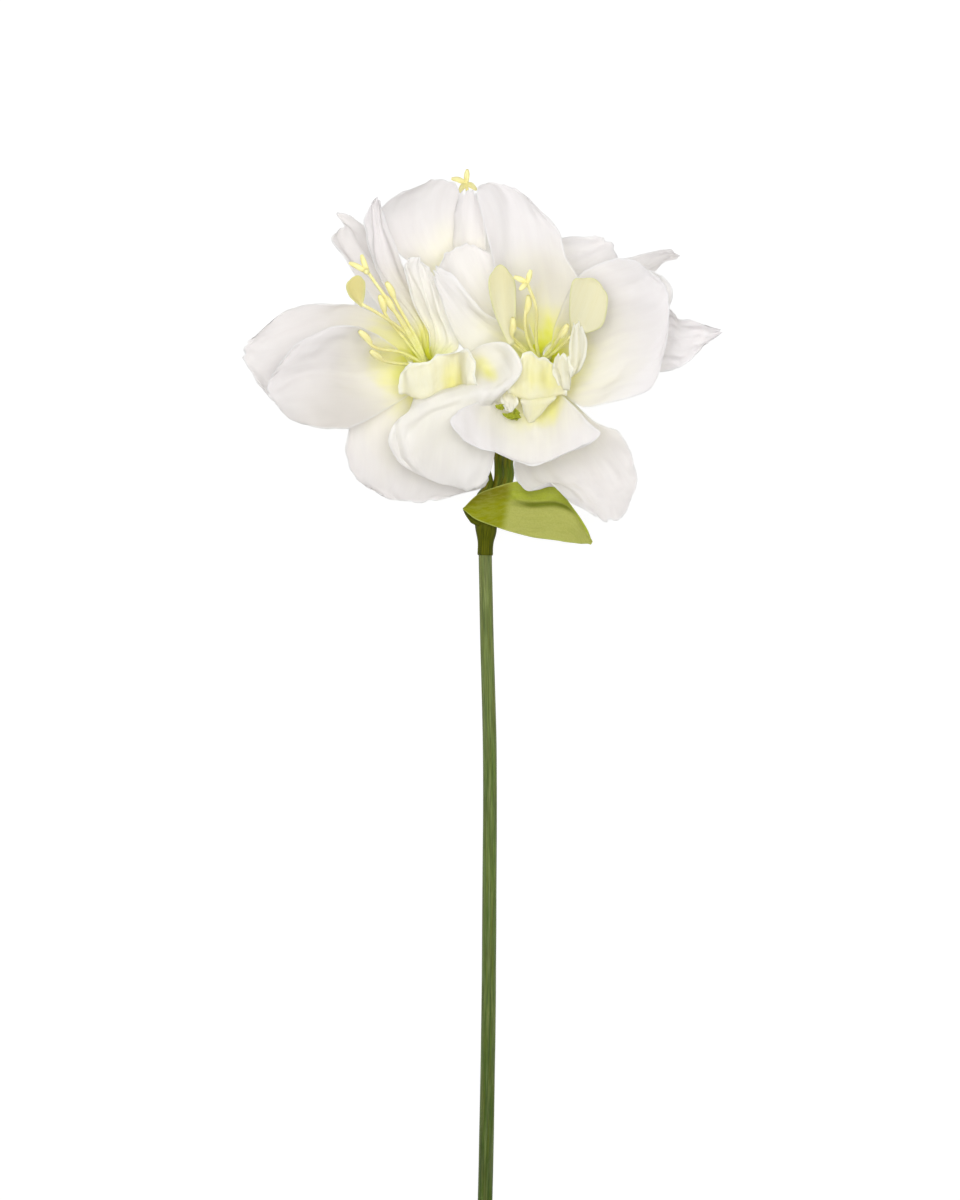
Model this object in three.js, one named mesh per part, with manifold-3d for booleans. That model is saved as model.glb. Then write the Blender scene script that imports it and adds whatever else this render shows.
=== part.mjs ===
// An artificial amaryllis lying on a surface: a straight green stem with a collar, one bract, three short
// flower stalks and three double blooms of white petals. In the throat of each bloom stand small cream
// inner petals and a cluster of yellow stamens round a three-lobed style.
//
// Points are given in the flower's own frame: x to the right, y up along the stem, z out of its face,
// with the origin where the stalks leave the collar. The whole flower is then laid down on its back, so
// that z points up, and moved so that the middle of its bounding box stands over the origin.
// Millimetres.

import * as THREE from "three";
import { mergeVertices } from "three/addons/utils/BufferGeometryUtils.js";
import Module from "manifold-3d";

const wasm = await Module();
wasm.setup();

// ---------------------------------------------------------------- driving dimensions

const stemPath = [
  [-1.7, -351, 0],
  [-0.4, -297, 0],
  [0.6, -240, 0],
  [1.1, -180, 0],
  [1.3, -117, 0],
  [0, -63, 0],
  [-0.8, -25.2, 0],
]; // the stem's middle line, from the cut end to the collar
const stemRadius = { cut: 3.4, top: 2.95 };
const spigot = { radius: 2.3, length: 9 }; // the stem's thinner end, which stands in the collar
const collar = { hem: -24.8, top: -1.5, hemRadius: 3.5, topRadius: 5.2 };
const gap = 0.3; // running gap between neighbouring pieces
const sheets = {
  petal: { thickness: 0.8, ruffle: 1.4, waves: 2.2, early: 0.8, rows: 8 },
  inner: { thickness: 0.8, ruffle: 1.2, waves: 0.6, early: 0.8, rows: 4 },
  paddle: { thickness: 0.8, ruffle: 0, waves: 0, early: 1, rows: 4 },
  bract: { thickness: 0.9, ruffle: 0.5, waves: 2.5, early: 1, rows: 10 },
}; // ruffle: how far the edges wave; early: below 1, the rows stand further apart near the foot
const stalk = { radius: 2.3, spread: 2.9, ovary: 4.2 }; // spread: from the stem's axis to each foot
const cup = { radius: 6, depth: 7 }; // the solid base of a bloom, which its petals grow from
const throat = { sunk: 3, ring: 4.2, footWidth: 3.2, neck: 6, neckRing: 6.2, neckWidth: 7 };
const plug = { radius: 2.1, height: 3.4 }; // the root of the stamens, which stands on the cup
const filamentRadius = 0.7;
const antherRadius = 1.1;
const leanAngle = 6.181; // degrees between the stem and the surface that it lies on
const rollAngle = -0.685; // degrees of turn about the stem

const colours = {
  petal: 0xf4f2ec,
  stamen: 0xe6dc74,
  stem: 0x6f8448,
  collar: 0x656b20,
  bract: 0x98a04a,
};

// ---------------------------------------------------------------- small helpers

const vec = (p) => new THREE.Vector3(...p);
const mix = (a, b, k) => a + (b - a) * k;

function smooth(from, to, x) {
  const k = THREE.MathUtils.clamp((x - from) / (to - from), 0, 1);
  return k * k * (3 - 2 * k);
}

// A closed geometry from its points and its triangles.
function geometryOf(points, triangles) {
  return new THREE.BufferGeometry()
    .setAttribute("position", new THREE.Float32BufferAttribute(points.flatMap((p) => p.toArray()), 3))
    .setIndex(triangles.flat());
}

function solidOf(geometry) {
  const bare = geometry.clone();
  bare.deleteAttribute("normal");
  bare.deleteAttribute("uv");
  const merged = mergeVertices(bare, 1e-4);
  return new wasm.Manifold(
    new wasm.Mesh({
      numProp: 3,
      vertProperties: merged.attributes.position.array,
      triVerts: new Uint32Array(merged.index.array),
    }),
  );
}

function geometryFrom(solid) {
  const { vertProperties, triVerts } = solid.getMesh();
  return new THREE.BufferGeometry()
    .setAttribute("position", new THREE.BufferAttribute(vertProperties, 3))
    .setIndex(new THREE.BufferAttribute(triVerts, 1));
}

// One geometry that joins several closed ones, with any small void shut in between them filled.
function fused(geometries) {
  const whole = geometries.map(solidOf).reduce((sum, next) => sum.add(next));
  const shells = whole.decompose().sort((a, b) => b.volume() - a.volume());
  return geometryFrom(shells[0]);
}

function meshOf(name, geometry, colour, roughness) {
  const material = new THREE.MeshStandardMaterial({ color: colour, roughness, metalness: 0 });
  const mesh = new THREE.Mesh(geometry, material);
  mesh.name = name;
  return mesh;
}

// ---------------------------------------------------------------- rods: stem, stalks, filaments

// A closed rod along a curve. radiusAt(s) gives its radius from foot (0) to tip (1).
function rodGeometry(curve, radiusAt, sides, steps) {
  const frames = curve.computeFrenetFrames(steps);
  const points = [];
  for (let i = 0; i <= steps; i++) {
    const s = i / steps;
    const centre = curve.getPointAt(s);
    for (let j = 0; j < sides; j++) {
      const angle = (2 * Math.PI * j) / sides;
      const out = frames.normals[i].clone().multiplyScalar(Math.cos(angle));
      out.addScaledVector(frames.binormals[i], Math.sin(angle));
      points.push(centre.clone().addScaledVector(out, radiusAt(s)));
    }
  }
  const triangles = [];
  const at = (i, j) => i * sides + (j % sides);
  for (let i = 0; i < steps; i++) {
    for (let j = 0; j < sides; j++) {
      triangles.push([at(i, j), at(i, j + 1), at(i + 1, j + 1)]);
      triangles.push([at(i, j), at(i + 1, j + 1), at(i + 1, j)]);
    }
  }
  const foot = points.push(curve.getPointAt(0)) - 1;
  const tip = points.push(curve.getPointAt(1)) - 1;
  for (let j = 0; j < sides; j++) {
    triangles.push([foot, at(0, j + 1), at(0, j)]);
    triangles.push([tip, at(steps, j), at(steps, j + 1)]);
  }
  return geometryOf(points, triangles);
}

const curveOf = (points) => new THREE.CatmullRomCurve3(points.map(vec), false, "catmullrom", 0.5);

// ---------------------------------------------------------------- blades: petals, paddles, the bract

// A function that gives the point of a blade's middle surface at s, from foot (0) to tip (1), and t, from
// one edge (-1) to the other (1). The surface runs smoothly through the net of points that shape it: each
// row of the net crosses the blade.
function bladeSurface(net) {
  const lines = net[0].map((_, j) => curveOf(net.map((row) => row[j])));
  return (s, t) => {
    const across = new THREE.CatmullRomCurve3(
      lines.map((line) => line.getPoint(s)),
      false,
      "catmullrom",
      0.5,
    );
    return across.getPoint((t + 1) / 2);
  };
}

// A closed sheet of even thickness round a blade's middle surface, with both faces split alike. Its edges
// wave to either side, each edge in its own time.
function bladeGeometry(net, sheet, columns) {
  const { thickness, ruffle, waves, rows } = sheet;
  const surface = bladeSurface(net);
  const grid = [];
  for (let i = 0; i <= rows; i++) {
    const s = (i / rows) ** sheet.early;
    grid.push([]);
    for (let j = 0; j <= columns; j++) {
      const t = (2 * j) / columns - 1;
      const spot = surface(s, t);
      const up = surface(Math.min(s + 0.02, 1), t).sub(surface(Math.max(s - 0.02, 0), t));
      const over = surface(s, Math.min(t + 0.05, 1)).sub(surface(s, Math.max(t - 0.05, -1)));
      const swing = 2 * Math.PI * (waves * s + (t > 0 ? 0.35 : 0)) + net[0][0][0];
      const wave = ruffle * Math.abs(t) ** 3 * smooth(0.25, 0.6, s) * Math.sin(swing);
      grid[i].push(spot.addScaledVector(over.cross(up).normalize(), wave));
    }
  }
  const faces = [[], []];
  for (let i = 0; i <= rows; i++) {
    for (let j = 0; j <= columns; j++) {
      const down = grid[Math.max(i - 1, 0)][j];
      const up = grid[Math.min(i + 1, rows)][j];
      const left = grid[i][Math.max(j - 1, 0)];
      const right = grid[i][Math.min(j + 1, columns)];
      const normal = right.clone().sub(left).cross(up.clone().sub(down)).normalize();
      faces[0].push(grid[i][j].clone().addScaledVector(normal, thickness / 2));
      faces[1].push(grid[i][j].clone().addScaledVector(normal, -thickness / 2));
    }
  }
  const count = faces[0].length;
  const at = (i, j) => i * (columns + 1) + j;
  const triangles = [];
  for (let i = 0; i < rows; i++) {
    for (let j = 0; j < columns; j++) {
      const [a, b, c, d] = [at(i, j), at(i, j + 1), at(i + 1, j + 1), at(i + 1, j)];
      triangles.push([a, b, c], [a, c, d]);
      triangles.push([count + a, count + c, count + b], [count + a, count + d, count + c]);
    }
  }
  const rim = [];
  for (let j = 0; j < columns; j++) rim.push(at(0, j));
  for (let i = 0; i < rows; i++) rim.push(at(i, columns));
  for (let j = columns; j > 0; j--) rim.push(at(rows, j));
  for (let i = rows; i > 0; i--) rim.push(at(i, 0));
  rim.forEach((a, k) => {
    const b = rim[(k + 1) % rim.length];
    triangles.push([a, count + a, count + b], [a, count + b, b]);
  });
  return geometryOf([...faces[0], ...faces[1]], triangles);
}

// The net of a petal: two rows that lead out of the bloom's cup, and then the petal's own rows.
function petalNet(bloom, rows) {
  const centre = vec(bloom.centre);
  const axis = vec(bloom.axis).normalize();
  const middle = (rows[0].length - 1) / 2;
  const away = vec(rows[0][middle]).sub(centre);
  const outward = away.addScaledVector(axis, -away.dot(axis)).normalize();
  const first = vec(rows[0][0]);
  const side = vec(rows[0].at(-1)).sub(first);
  const sense = Math.sign(side.dot(outward.clone().cross(axis))) || 1;
  const across = outward.clone().cross(axis).multiplyScalar(sense);
  const rowAt = (height, ring, width) =>
    rows[0].map((_, j) => {
      const spot = centre.clone().addScaledVector(axis, height).addScaledVector(outward, ring);
      return spot.addScaledVector(across, (width / 2) * (j / middle - 1)).toArray();
    });
  return [
    rowAt(-throat.sunk, throat.ring, throat.footWidth),
    rowAt(throat.neck, throat.neckRing, throat.neckWidth),
    ...rows,
  ];
}

// ---------------------------------------------------------------- the three blooms

// Each bloom has a cup, whose flat top lies at centre, square to axis. Each of its petals, and each of the
// small inner petals in its throat, is a list of rows of points across it, from the cup outwards.
const blooms = {
  left: {
    centre: [-25, 58, 2],
    axis: [-0.4, 0.42, 0.8],
    stalk: { foot: 150, path: [[-3.4, 8, 1], [-8, 25, -3], [-14, 42, -8]] },
    petals: {
      farLeft: [
        [[-35, 62, 9], [-38, 69, 6], [-39, 77, 10]],
        [[-56, 58, 17], [-59, 73, 12], [-57, 89, 17]],
        [[-80, 54, 20], [-83, 72, 15], [-82, 88.5, 19]],
        [[-96, 48, 18], [-101, 67, 13], [-98, 80, 15]],
        [[-101, 47, 17], [-109.5, 65, 11], [-106, 73.5, 12]],
      ],
      nearLeft: [
        [[-34, 48, 15], [-38, 57, 11], [-39, 67, 15]],
        [[-57, 34, 33], [-60, 56, 24], [-55, 77, 33]],
        [[-76, 33.5, 41], [-79, 56, 31], [-75, 75, 38]],
        [[-90, 37, 37], [-94, 53, 30], [-90, 66.5, 33]],
        [[-96, 42, 33], [-99, 50, 29], [-97.5, 58.5, 30]],
      ],
      low: [
        [[-20, 47, 13], [-28, 44, 9], [-36, 47, 14]],
        [[-13, 32, 16], [-34, 30, 13], [-58, 38, 22]],
        [[-8, 15, 15], [-34, 14, 12], [-61.5, 21, 19]],
        [[-10, 3, 11], [-36, 3, 9], [-57, 9, 14]],
        [[-16, 0, 10], [-38, -2.5, 7], [-49, 2.5, 11]],
      ],
      nearLow: [
        [[-13, 46, 22], [-19, 44, 20], [-24, 44, 22], [-29, 46, 26], [-32, 48, 28]],
        [[1, 32, 26], [-12, 32, 29], [-26, 34, 29], [-38, 40, 30], [-38, 38, 37]],
        [[4, 20, 23], [-10, 19, 28], [-26, 20, 28], [-40, 27, 28], [-43.5, 28, 35]],
        [[1, 9, 20], [-12, 7, 24], [-26, 8, 24], [-37, 14, 25], [-38, 17, 31]],
        [[-4, 3.5, 18], [-12, 2.5, 20], [-21, 3, 21], [-28, 6, 22], [-31, 11, 25]],
      ],
      curled: [
        [[-17, 65, 14], [-17, 60, 11], [-18, 54, 11], [-20, 48, 16], [-22, 45, 20]],
        [[-8, 68, 26], [-6, 61, 17], [-7, 52, 17], [-10, 47, 30], [-14, 44.5, 33]],
        [[3, 70, 36], [6, 62, 26], [6, 54, 26], [2, 50, 39], [1, 45.5, 41]],
        [[8, 70, 41], [14, 63, 35], [14.5, 56, 35], [9, 50.5, 43], [8, 46.5, 43]],
      ],
      folded: [
        [[-38, 74, 9], [-35, 80, 4], [-30, 84, 6]],
        [[-53, 96, 10], [-46, 100, 2], [-38, 103, 4]],
        [[-62, 108, 10], [-56, 113, 0], [-46, 118, 0]],
        [[-68.5, 119, 7], [-64, 123.5, -2], [-56, 126, -4]],
        [[-69.5, 121, 6], [-68.5, 129.5, -3], [-61, 127, -5]],
      ],
      upper: [
        [[-34, 78, 12], [-30, 80, 8], [-25, 80, 10]],
        [[-52, 104, 17], [-45, 104, 10], [-36, 102, 17]],
        [[-55, 121, 16], [-49, 121, 10], [-43, 118, 15]],
        [[-54, 130, 12], [-50, 132, 9], [-46, 128, 11]],
        [[-52, 134, 10], [-49.5, 137, 8], [-48, 132, 9]],
      ],
      upperRight: [
        [[-27, 77, 11], [-20, 74, 7], [-13, 67, 9]],
        [[-37, 96, 21], [-27, 90, 13], [-14, 79, 15]],
        [[-39, 110, 21], [-31, 106, 14], [-23, 94, 18]],
        [[-34, 117, 17], [-28, 116, 13], [-24, 109, 16]],
      ],
    },
    inner: {
      lip: [
        [[-38, 51, 27], [-38.5, 58, 31], [-31, 62.5, 33], [-26, 61, 32], [-24, 52, 31]],
        [[-40, 51, 30], [-40, 59, 34], [-31, 64, 36], [-24.5, 62, 35], [-22.5, 51, 34]],
      ],
      fan: [
        [[-23, 50, 30], [-23, 62, 30], [-14, 63, 31], [-6, 65, 31], [-6, 57, 31]],
        [[-24, 49, 34], [-24, 64.5, 35], [-14.5, 66.5, 36], [-3, 67.5, 36], [-6, 54, 37]],
      ],
    },
    style: [[-27, 61, 5], [-33, 72, 20], [-43, 87, 35], [-53, 101, 45]],
    lobes: [[-56, 109, 47], [-61.5, 105.5, 46], [-54, 101, 51]],
    stamens: [
      [[-26, 60, 5], [-31, 71, 18], [-40, 87, 32], [-45, 97, 38]],
      [[-27, 60, 5], [-36, 71, 19], [-45, 82, 32], [-48, 91, 39]],
      [[-27, 60, 5], [-38, 66, 20], [-50, 68, 36], [-57, 75, 43]],
      [[-27, 59, 5], [-38, 61, 20], [-46, 62, 33], [-52, 66, 41]],
    ],
    paddles: [
      {
        stem: [[-27, 61, 5], [-36, 74, 22], [-47, 83, 38], [-56, 89, 46]],
        net: [
          [[-56, 88.5, 47], [-55.5, 88, 46.5], [-55, 87.5, 46]],
          [[-61, 92, 47], [-57.5, 92.5, 45.5], [-54, 92, 46]],
          [[-63, 96.5, 47], [-58.5, 97.5, 45.5], [-53.5, 96, 46]],
          [[-61.5, 100.5, 46], [-58.5, 102, 45], [-55, 100.5, 45]],
        ],
      },
    ],
  },
  right: {
    centre: [24, 60, 2],
    axis: [-0.02, 0.36, 0.93],
    stalk: { foot: 30, path: [[5.2, 8, 1.5], [10.5, 22, -1], [18, 42, -9]] },
    petals: {
      upper: [
        [[13, 76, 12], [20, 79, 8], [27, 77, 12]],
        [[5, 100, 24], [19, 100, 14], [37, 98, 22]],
        [[-1, 120, 26], [16, 121, 15], [34, 115, 20]],
        [[-5, 134, 21], [8, 136, 13], [26, 128.5, 16]],
        [[-6, 140.5, 17], [3, 142.5, 12], [15, 138, 12]],
      ],
      right: [
        [[34, 78, 12], [37, 67, 7], [34, 55, 12]],
        [[40, 99, 29], [52, 70, 16], [45, 44.5, 26]],
        [[56, 108, 36], [67, 76, 25], [62, 46.5, 33]],
        [[69, 106.5, 36], [77, 81, 31], [75.5, 55, 33]],
        [[76, 104, 35], [80.5, 86, 33], [80, 68, 32]],
      ],
      behindRight: [
        [[34, 76, 7], [37, 72, 4], [38, 66, 6]],
        [[54, 94, 16], [58, 82, 10], [60, 70, 14]],
        [[70, 103, 20], [73, 91, 16], [75, 78, 18]],
        [[77, 104, 20], [81.5, 94, 18], [81, 84, 19]],
      ],
      farRight: [
        [[36, 68, 3], [38, 62, 1], [38, 56, 3]],
        [[58, 82, 3], [60, 69, -1], [60, 56, 4]],
        [[80, 86, 7], [80, 73, 2], [81, 60.5, 7]],
        [[95, 80, 6], [96, 73.5, 3], [92, 65, 6]],
        [[104.5, 77, 5], [105, 75.5, 4.5], [104, 74, 5]],
      ],
      nearLow: [
        [[33, 48, 16], [29, 45, 12], [20, 44, 11], [11, 45, 13], [8, 48, 17]],
        [[42, 43, 35], [32, 37, 28], [19, 35, 27], [4, 37, 29], [-5, 43, 37]],
        [[49, 33, 42], [35, 26, 34], [19, 23, 33], [2, 26, 35], [-14, 38, 43]],
        [[48, 28.5, 42], [35, 20.5, 37], [18, 17, 36], [2, 21.5, 37], [-16, 33, 42]],
        [[42, 23, 41], [30, 18, 38], [16, 17.5, 37], [4, 20.5, 38], [-10, 25, 41]],
      ],
      farLow: [
        [[35, 48, 7], [27, 44, 4], [19, 45, 8]],
        [[53, 34, 16], [36, 28, 9], [13, 21, 15]],
        [[64, 20, 18], [46, 12, 12], [17, 5, 17]],
        [[66.5, 6, 17], [54, -1, 13], [36, 1, 16]],
        [[63, -4, 15], [58, -9, 13], [50, -5.5, 14]],
      ],
      band: [
        [[17, 75, 14], [12, 70, 10], [10, 65, 11]],
        [[0, 84, 25], [-1, 76, 18], [-8, 66, 15]],
        [[-14, 99, 30], [-14, 90, 25], [-17, 79, 24]],
        [[-25, 110, 27], [-25, 104, 25], [-26, 97, 26]],
      ],
      upperLeft: [
        [[11, 76, 10], [14, 80, 8], [17, 82, 9]],
        [[-6, 92, 19], [0, 96, 14], [5, 98, 14]],
        [[-18, 108, 20], [-9, 109, 15], [3, 109, 13]],
        [[-23, 112.5, 18], [-11, 115.5, 14], [1, 114, 12]],
      ],
    },
    inner: {
      fan: [
        [[18, 51, 24], [19, 61, 27], [22, 63, 28], [27, 60, 27], [29, 50, 24]],
        [[17.5, 48.5, 32], [17.5, 65, 34], [22, 67, 35], [28, 61, 34], [30, 46, 31]],
      ],
      wing: [
        [[32, 50, 26], [32, 57, 27], [34, 60, 28], [36, 57, 28], [35, 51, 27]],
        [[30, 45, 33], [31, 60, 35], [34, 66, 36], [38, 62, 35], [36, 47, 33]],
      ],
      curl: [
        [[36, 56, 19], [38, 58, 18], [40, 60, 20]],
        [[39, 66, 27], [42, 66, 25], [44, 69, 29]],
        [[37.5, 78, 31], [40, 79.5, 29], [42.5, 78, 33]],
      ],
    },
    style: [[24, 63, 5], [22, 72, 22], [22, 85, 40], [18, 96, 50]],
    lobes: [[12, 99, 51], [19.5, 102, 51], [14.5, 93, 53]],
    stamens: [
      [[23, 62, 5], [19, 70, 21], [17, 80, 34], [18.5, 91, 40]],
      [[23, 62, 5], [15, 69, 22], [11, 74, 33], [11.5, 81, 38]],
      [[25, 62, 5], [29, 68, 20], [32, 72, 32], [36, 78, 38]],
    ],
    paddles: [
      {
        stem: [[23, 62, 5], [16, 70, 20], [9, 76, 31]],
        net: [
          [[8, 75, 31], [9, 75, 31], [10, 75.5, 31]],
          [[1.5, 88, 36], [6.5, 88, 34], [12.5, 87, 36]],
          [[0.5, 99, 38], [5.5, 100, 36], [12, 98, 37]],
          [[2, 105, 38], [5, 107, 37], [9, 104, 38]],
        ],
      },
      {
        stem: [[25, 62, 5], [31, 70, 19], [36, 78, 32]],
        net: [
          [[35.5, 78, 32], [36.5, 77.5, 32], [37.5, 77, 32]],
          [[37, 88, 41], [42, 85, 37], [50, 80, 38]],
          [[38, 97, 44], [46, 92, 40], [54, 88, 40]],
          [[43, 99.5, 44], [48, 98.5, 42], [53, 95, 42]],
        ],
      },
    ],
  },
  back: {
    centre: [-5, 78, -16],
    axis: [-0.05, 0.8, -0.55],
    stalk: { foot: 270, path: [[1.6, 8, -4], [2, 25, -8], [-1, 50, -9]] },
    petals: {
      upperLeft: [
        [[-17, 96, -12], [-10, 95, -12], [-4, 95, -13]],
        [[-38, 109, -6], [-22, 111, -2], [-10, 110, -7]],
        [[-49, 124, -7], [-29, 126, 0], [-12, 126, -5]],
        [[-43, 134, -12], [-27, 138, -4], [-12, 137.5, -7]],
        [[-37, 138, -15], [-23, 143.5, -8], [-14, 141.5, -9]],
      ],
      column: [
        [[-6, 97, -10], [-3, 97, -11], [0, 97, -13]],
        [[-15, 112, -2], [-8, 112, 2], [0, 112, -2]],
        [[-14, 127, -1], [-8, 127, 3], [-2, 127, -1]],
        [[-13, 138, -3], [-8, 139.5, 1], [-3, 138, -3]],
      ],
      upperRight: [
        [[3, 95, -17], [8, 91, -17], [11, 87, -19]],
        [[18, 112, -13], [25, 101, -13], [30, 89, -18]],
        [[34, 118, -13], [42, 106, -12], [49, 93, -18]],
        [[47, 119, -14], [54, 113, -13], [57.5, 104, -17]],
      ],
      right: [
        [[7, 90, -19], [9, 86, -20], [10, 82, -21]],
        [[38, 106, -26], [39, 98, -24], [40, 90, -27]],
        [[64, 109, -23], [65, 102, -22], [64, 95, -26]],
        [[79, 111.5, -20], [79, 107.5, -20], [77, 103, -23]],
        [[86, 111, -19], [86.5, 110, -19], [86, 109, -20]],
      ],
      backLeft: [
        [[-14, 91, -24], [-17, 87, -24], [-17, 82, -26]],
        [[-34, 105, -41], [-38, 92, -40], [-36, 79, -42]],
        [[-50, 106, -47], [-56, 92, -48], [-53, 77, -48]],
        [[-60, 101, -46], [-66, 90, -50], [-62, 80, -47]],
      ],
      backRight: [
        [[6, 82, -25], [7, 79, -27], [6, 76, -28]],
        [[28, 92, -41], [32, 80, -42], [28, 68, -42]],
        [[46, 90, -47], [52, 78, -49], [47, 66, -48]],
        [[57, 84, -46], [61, 76, -50], [57, 68, -47]],
      ],
      back: [
        [[-12, 87, -30], [-6, 86, -31], [0, 85, -31]],
        [[-22, 104, -46], [-5, 106, -47], [12, 103, -46]],
        [[-21, 122, -50], [-4, 125, -53], [14, 121, -50]],
        [[-10, 133, -47], [-2, 136, -49], [7, 132, -47]],
      ],
    },
    inner: {
      fan: [
        [[-14, 93, -22], [-9, 94, -20], [-4, 94, -19], [2, 94, -20], [7, 92, -23]],
        [[-16, 103, -22], [-10, 106, -19], [-4, 107, -18], [3, 106, -20], [9, 102, -23]],
      ],
    },
    style: [[-5, 80, -18], [-6, 100, -25], [-7, 123, -22], [-10, 141, -16]],
    lobes: [[-16, 146, -15], [-9, 149.4, -14], [-5, 142, -12]],
    stamens: [
      [[-5, 80, -18], [-11, 96, -28], [-15, 108, -34], [-16, 118, -36]],
      [[-5, 80, -18], [0, 96, -28], [5, 110, -33], [8, 119, -34]],
      [[-5, 80, -18], [-4, 95, -31], [-4, 106, -39], [-5, 113, -42]],
    ],
    paddles: [],
  },
};

const bractNet = [
  [[-11, -3.6, 5], [-11.2, -4, 5], [-11, -4.4, 5]],
  [[-5, 0.4, 6.4], [-5.5, -5, 5.7], [-5, -10.5, 6.4]],
  [[4, 5.2, 6.8], [3, -3, 6.0], [4, -12.6, 6.8]],
  [[13, 8.5, 8], [14, -1.5, 6.5], [13, -15.3, 8]],
  [[24, 8, 8], [24, -2.5, 6], [24, -17.7, 8]],
  [[34, 3.5, 8], [34, -3, 6], [34, -19.2, 8.5]],
  [[42, -6, 7.5], [43, -9, 6.5], [43, -20, 8]],
  [[46.6, -18.5, 7], [47, -19.3, 7], [46.8, -20.2, 7]],
];

// ---------------------------------------------------------------- building the pieces

function stemGeometry() {
  const curve = curveOf(stemPath);
  const rod = solidOf(rodGeometry(curve, (s) => mix(stemRadius.cut, stemRadius.top, s), 12, 9));
  const top = curve.getPoint(1);
  const length = spigot.length + 2;
  const pin = new THREE.CylinderGeometry(spigot.radius, spigot.radius, length, 14);
  pin.translate(top.x, top.y - 2 + length / 2, top.z);
  return geometryFrom(rod.add(solidOf(pin)));
}

function collarGeometry() {
  const height = collar.top - collar.hem;
  const at = stemPath.at(-1)[0];
  const outer = [
    [0, 0],
    [collar.hemRadius, 0],
    [collar.hemRadius + 0.15, height * 0.3],
    [mix(collar.hemRadius, collar.topRadius, 0.45), height * 0.62],
    [collar.topRadius, height * 0.85],
    [collar.topRadius, height],
    [0, height],
  ];
  const body = new THREE.LatheGeometry(outer.map((p) => new THREE.Vector2(...p)), 14);
  body.translate(at / 2, collar.hem, 0);
  const depth = spigot.length + 0.6;
  const boreRadius = spigot.radius + gap + 0.08;
  const bore = new THREE.CylinderGeometry(boreRadius, boreRadius, depth + 2, 14);
  bore.translate(at, collar.hem + depth / 2 - 1, 0);
  return geometryFrom(solidOf(body).subtract(solidOf(bore)));
}

// A flower stalk from the collar's top to the underside of a bloom's cup, with a swelling at its end.
// Its foot stands at the given angle round the collar.
function stalkGeometry(bloom) {
  const axis = vec(bloom.axis).normalize();
  const end = vec(bloom.centre).addScaledVector(axis, -cup.depth - gap);
  const turn = THREE.MathUtils.degToRad(bloom.stalk.foot);
  const foot = new THREE.Vector3(Math.cos(turn), 0, Math.sin(turn)).multiplyScalar(stalk.spread);
  foot.y = collar.top + gap;
  const rise = foot.clone().setY(foot.y + 3);
  const under = end.clone().addScaledVector(axis, -6);
  const ends = [foot, rise, under, end].map((p) => p.toArray());
  const curve = curveOf([...ends.slice(0, 2), ...bloom.stalk.path, ...ends.slice(2)]);
  const swell = (s) => smooth(0.62, 0.9, s) * (1 - 0.25 * smooth(0.9, 1, s));
  return rodGeometry(curve, (s) => mix(stalk.radius, stalk.ovary, swell(s)), 10, 9);
}

// The solid base of a bloom: a short cone whose flat top lies at the bloom's centre.
function cupGeometry(bloom) {
  const axis = vec(bloom.axis).normalize();
  const body = new THREE.CylinderGeometry(cup.radius, cup.radius * 0.6, cup.depth, 12);
  body.translate(0, -cup.depth / 2, 0);
  body.applyQuaternion(new THREE.Quaternion().setFromUnitVectors(new THREE.Vector3(0, 1, 0), axis));
  body.translate(...bloom.centre);
  return body;
}

function bloomGeometry(bloom) {
  const petals = Object.values(bloom.petals).map((rows) =>
    bladeGeometry(petalNet(bloom, rows), sheets.petal, rows[0].length > 3 ? 6 : 4),
  );
  const inner = Object.values(bloom.inner).map((rows) =>
    bladeGeometry(petalNet(bloom, rows), sheets.inner, rows[0].length > 3 ? 6 : 4),
  );
  return fused([cupGeometry(bloom), ...petals, ...inner]);
}

// The stamens, the paddle-shaped inner petals among them and the style, all from one root.
function stamensGeometry(bloom) {
  const axis = vec(bloom.axis).normalize();
  const root = new THREE.CylinderGeometry(plug.radius * 0.8, plug.radius, plug.height, 8);
  root.translate(0, gap + plug.height / 2, 0);
  root.applyQuaternion(new THREE.Quaternion().setFromUnitVectors(new THREE.Vector3(0, 1, 0), axis));
  root.translate(...bloom.centre);
  const foot = vec(bloom.centre).addScaledVector(axis, gap + plug.height * 0.5).toArray();
  const rise = vec(bloom.centre).addScaledVector(axis, gap + plug.height + 2).toArray();
  const fromRoot = (points) => [foot, rise, ...points.slice(1)];
  const thread = (points) => rodGeometry(curveOf(fromRoot(points)), () => filamentRadius, 4, 5);
  const anthers = bloom.stamens.map((points) => {
    const tip = vec(points.at(-1));
    const back = vec(points.at(-2)).sub(tip).setLength(7).add(tip);
    const ends = [back.toArray(), tip.toArray()];
    return rodGeometry(curveOf(ends), (s) => antherRadius * (0.6 + 0.4 * Math.sin(Math.PI * s)), 4, 2);
  });
  const lobes = bloom.lobes.map((end) =>
    rodGeometry(curveOf([bloom.style.at(-1), end]), (s) => mix(0.7, 1.1, s), 4, 1),
  );
  const paddles = bloom.paddles.flatMap((paddle) => [
    thread(paddle.stem),
    bladeGeometry(paddle.net, sheets.paddle, 4),
  ]);
  return fused([
    root,
    ...bloom.stamens.map(thread),
    thread(bloom.style),
    ...anthers,
    ...lobes,
    ...paddles,
  ]);
}

// ---------------------------------------------------------------- the whole flower, laid down

const flower = new THREE.Group();
flower.name = "amaryllis";
flower.add(meshOf("stem", stemGeometry(), colours.stem, 0.55));
flower.add(meshOf("collar", collarGeometry(), colours.collar, 0.6));
flower.add(meshOf("bract", bladeGeometry(bractNet, sheets.bract, 4), colours.bract, 0.7));

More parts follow.
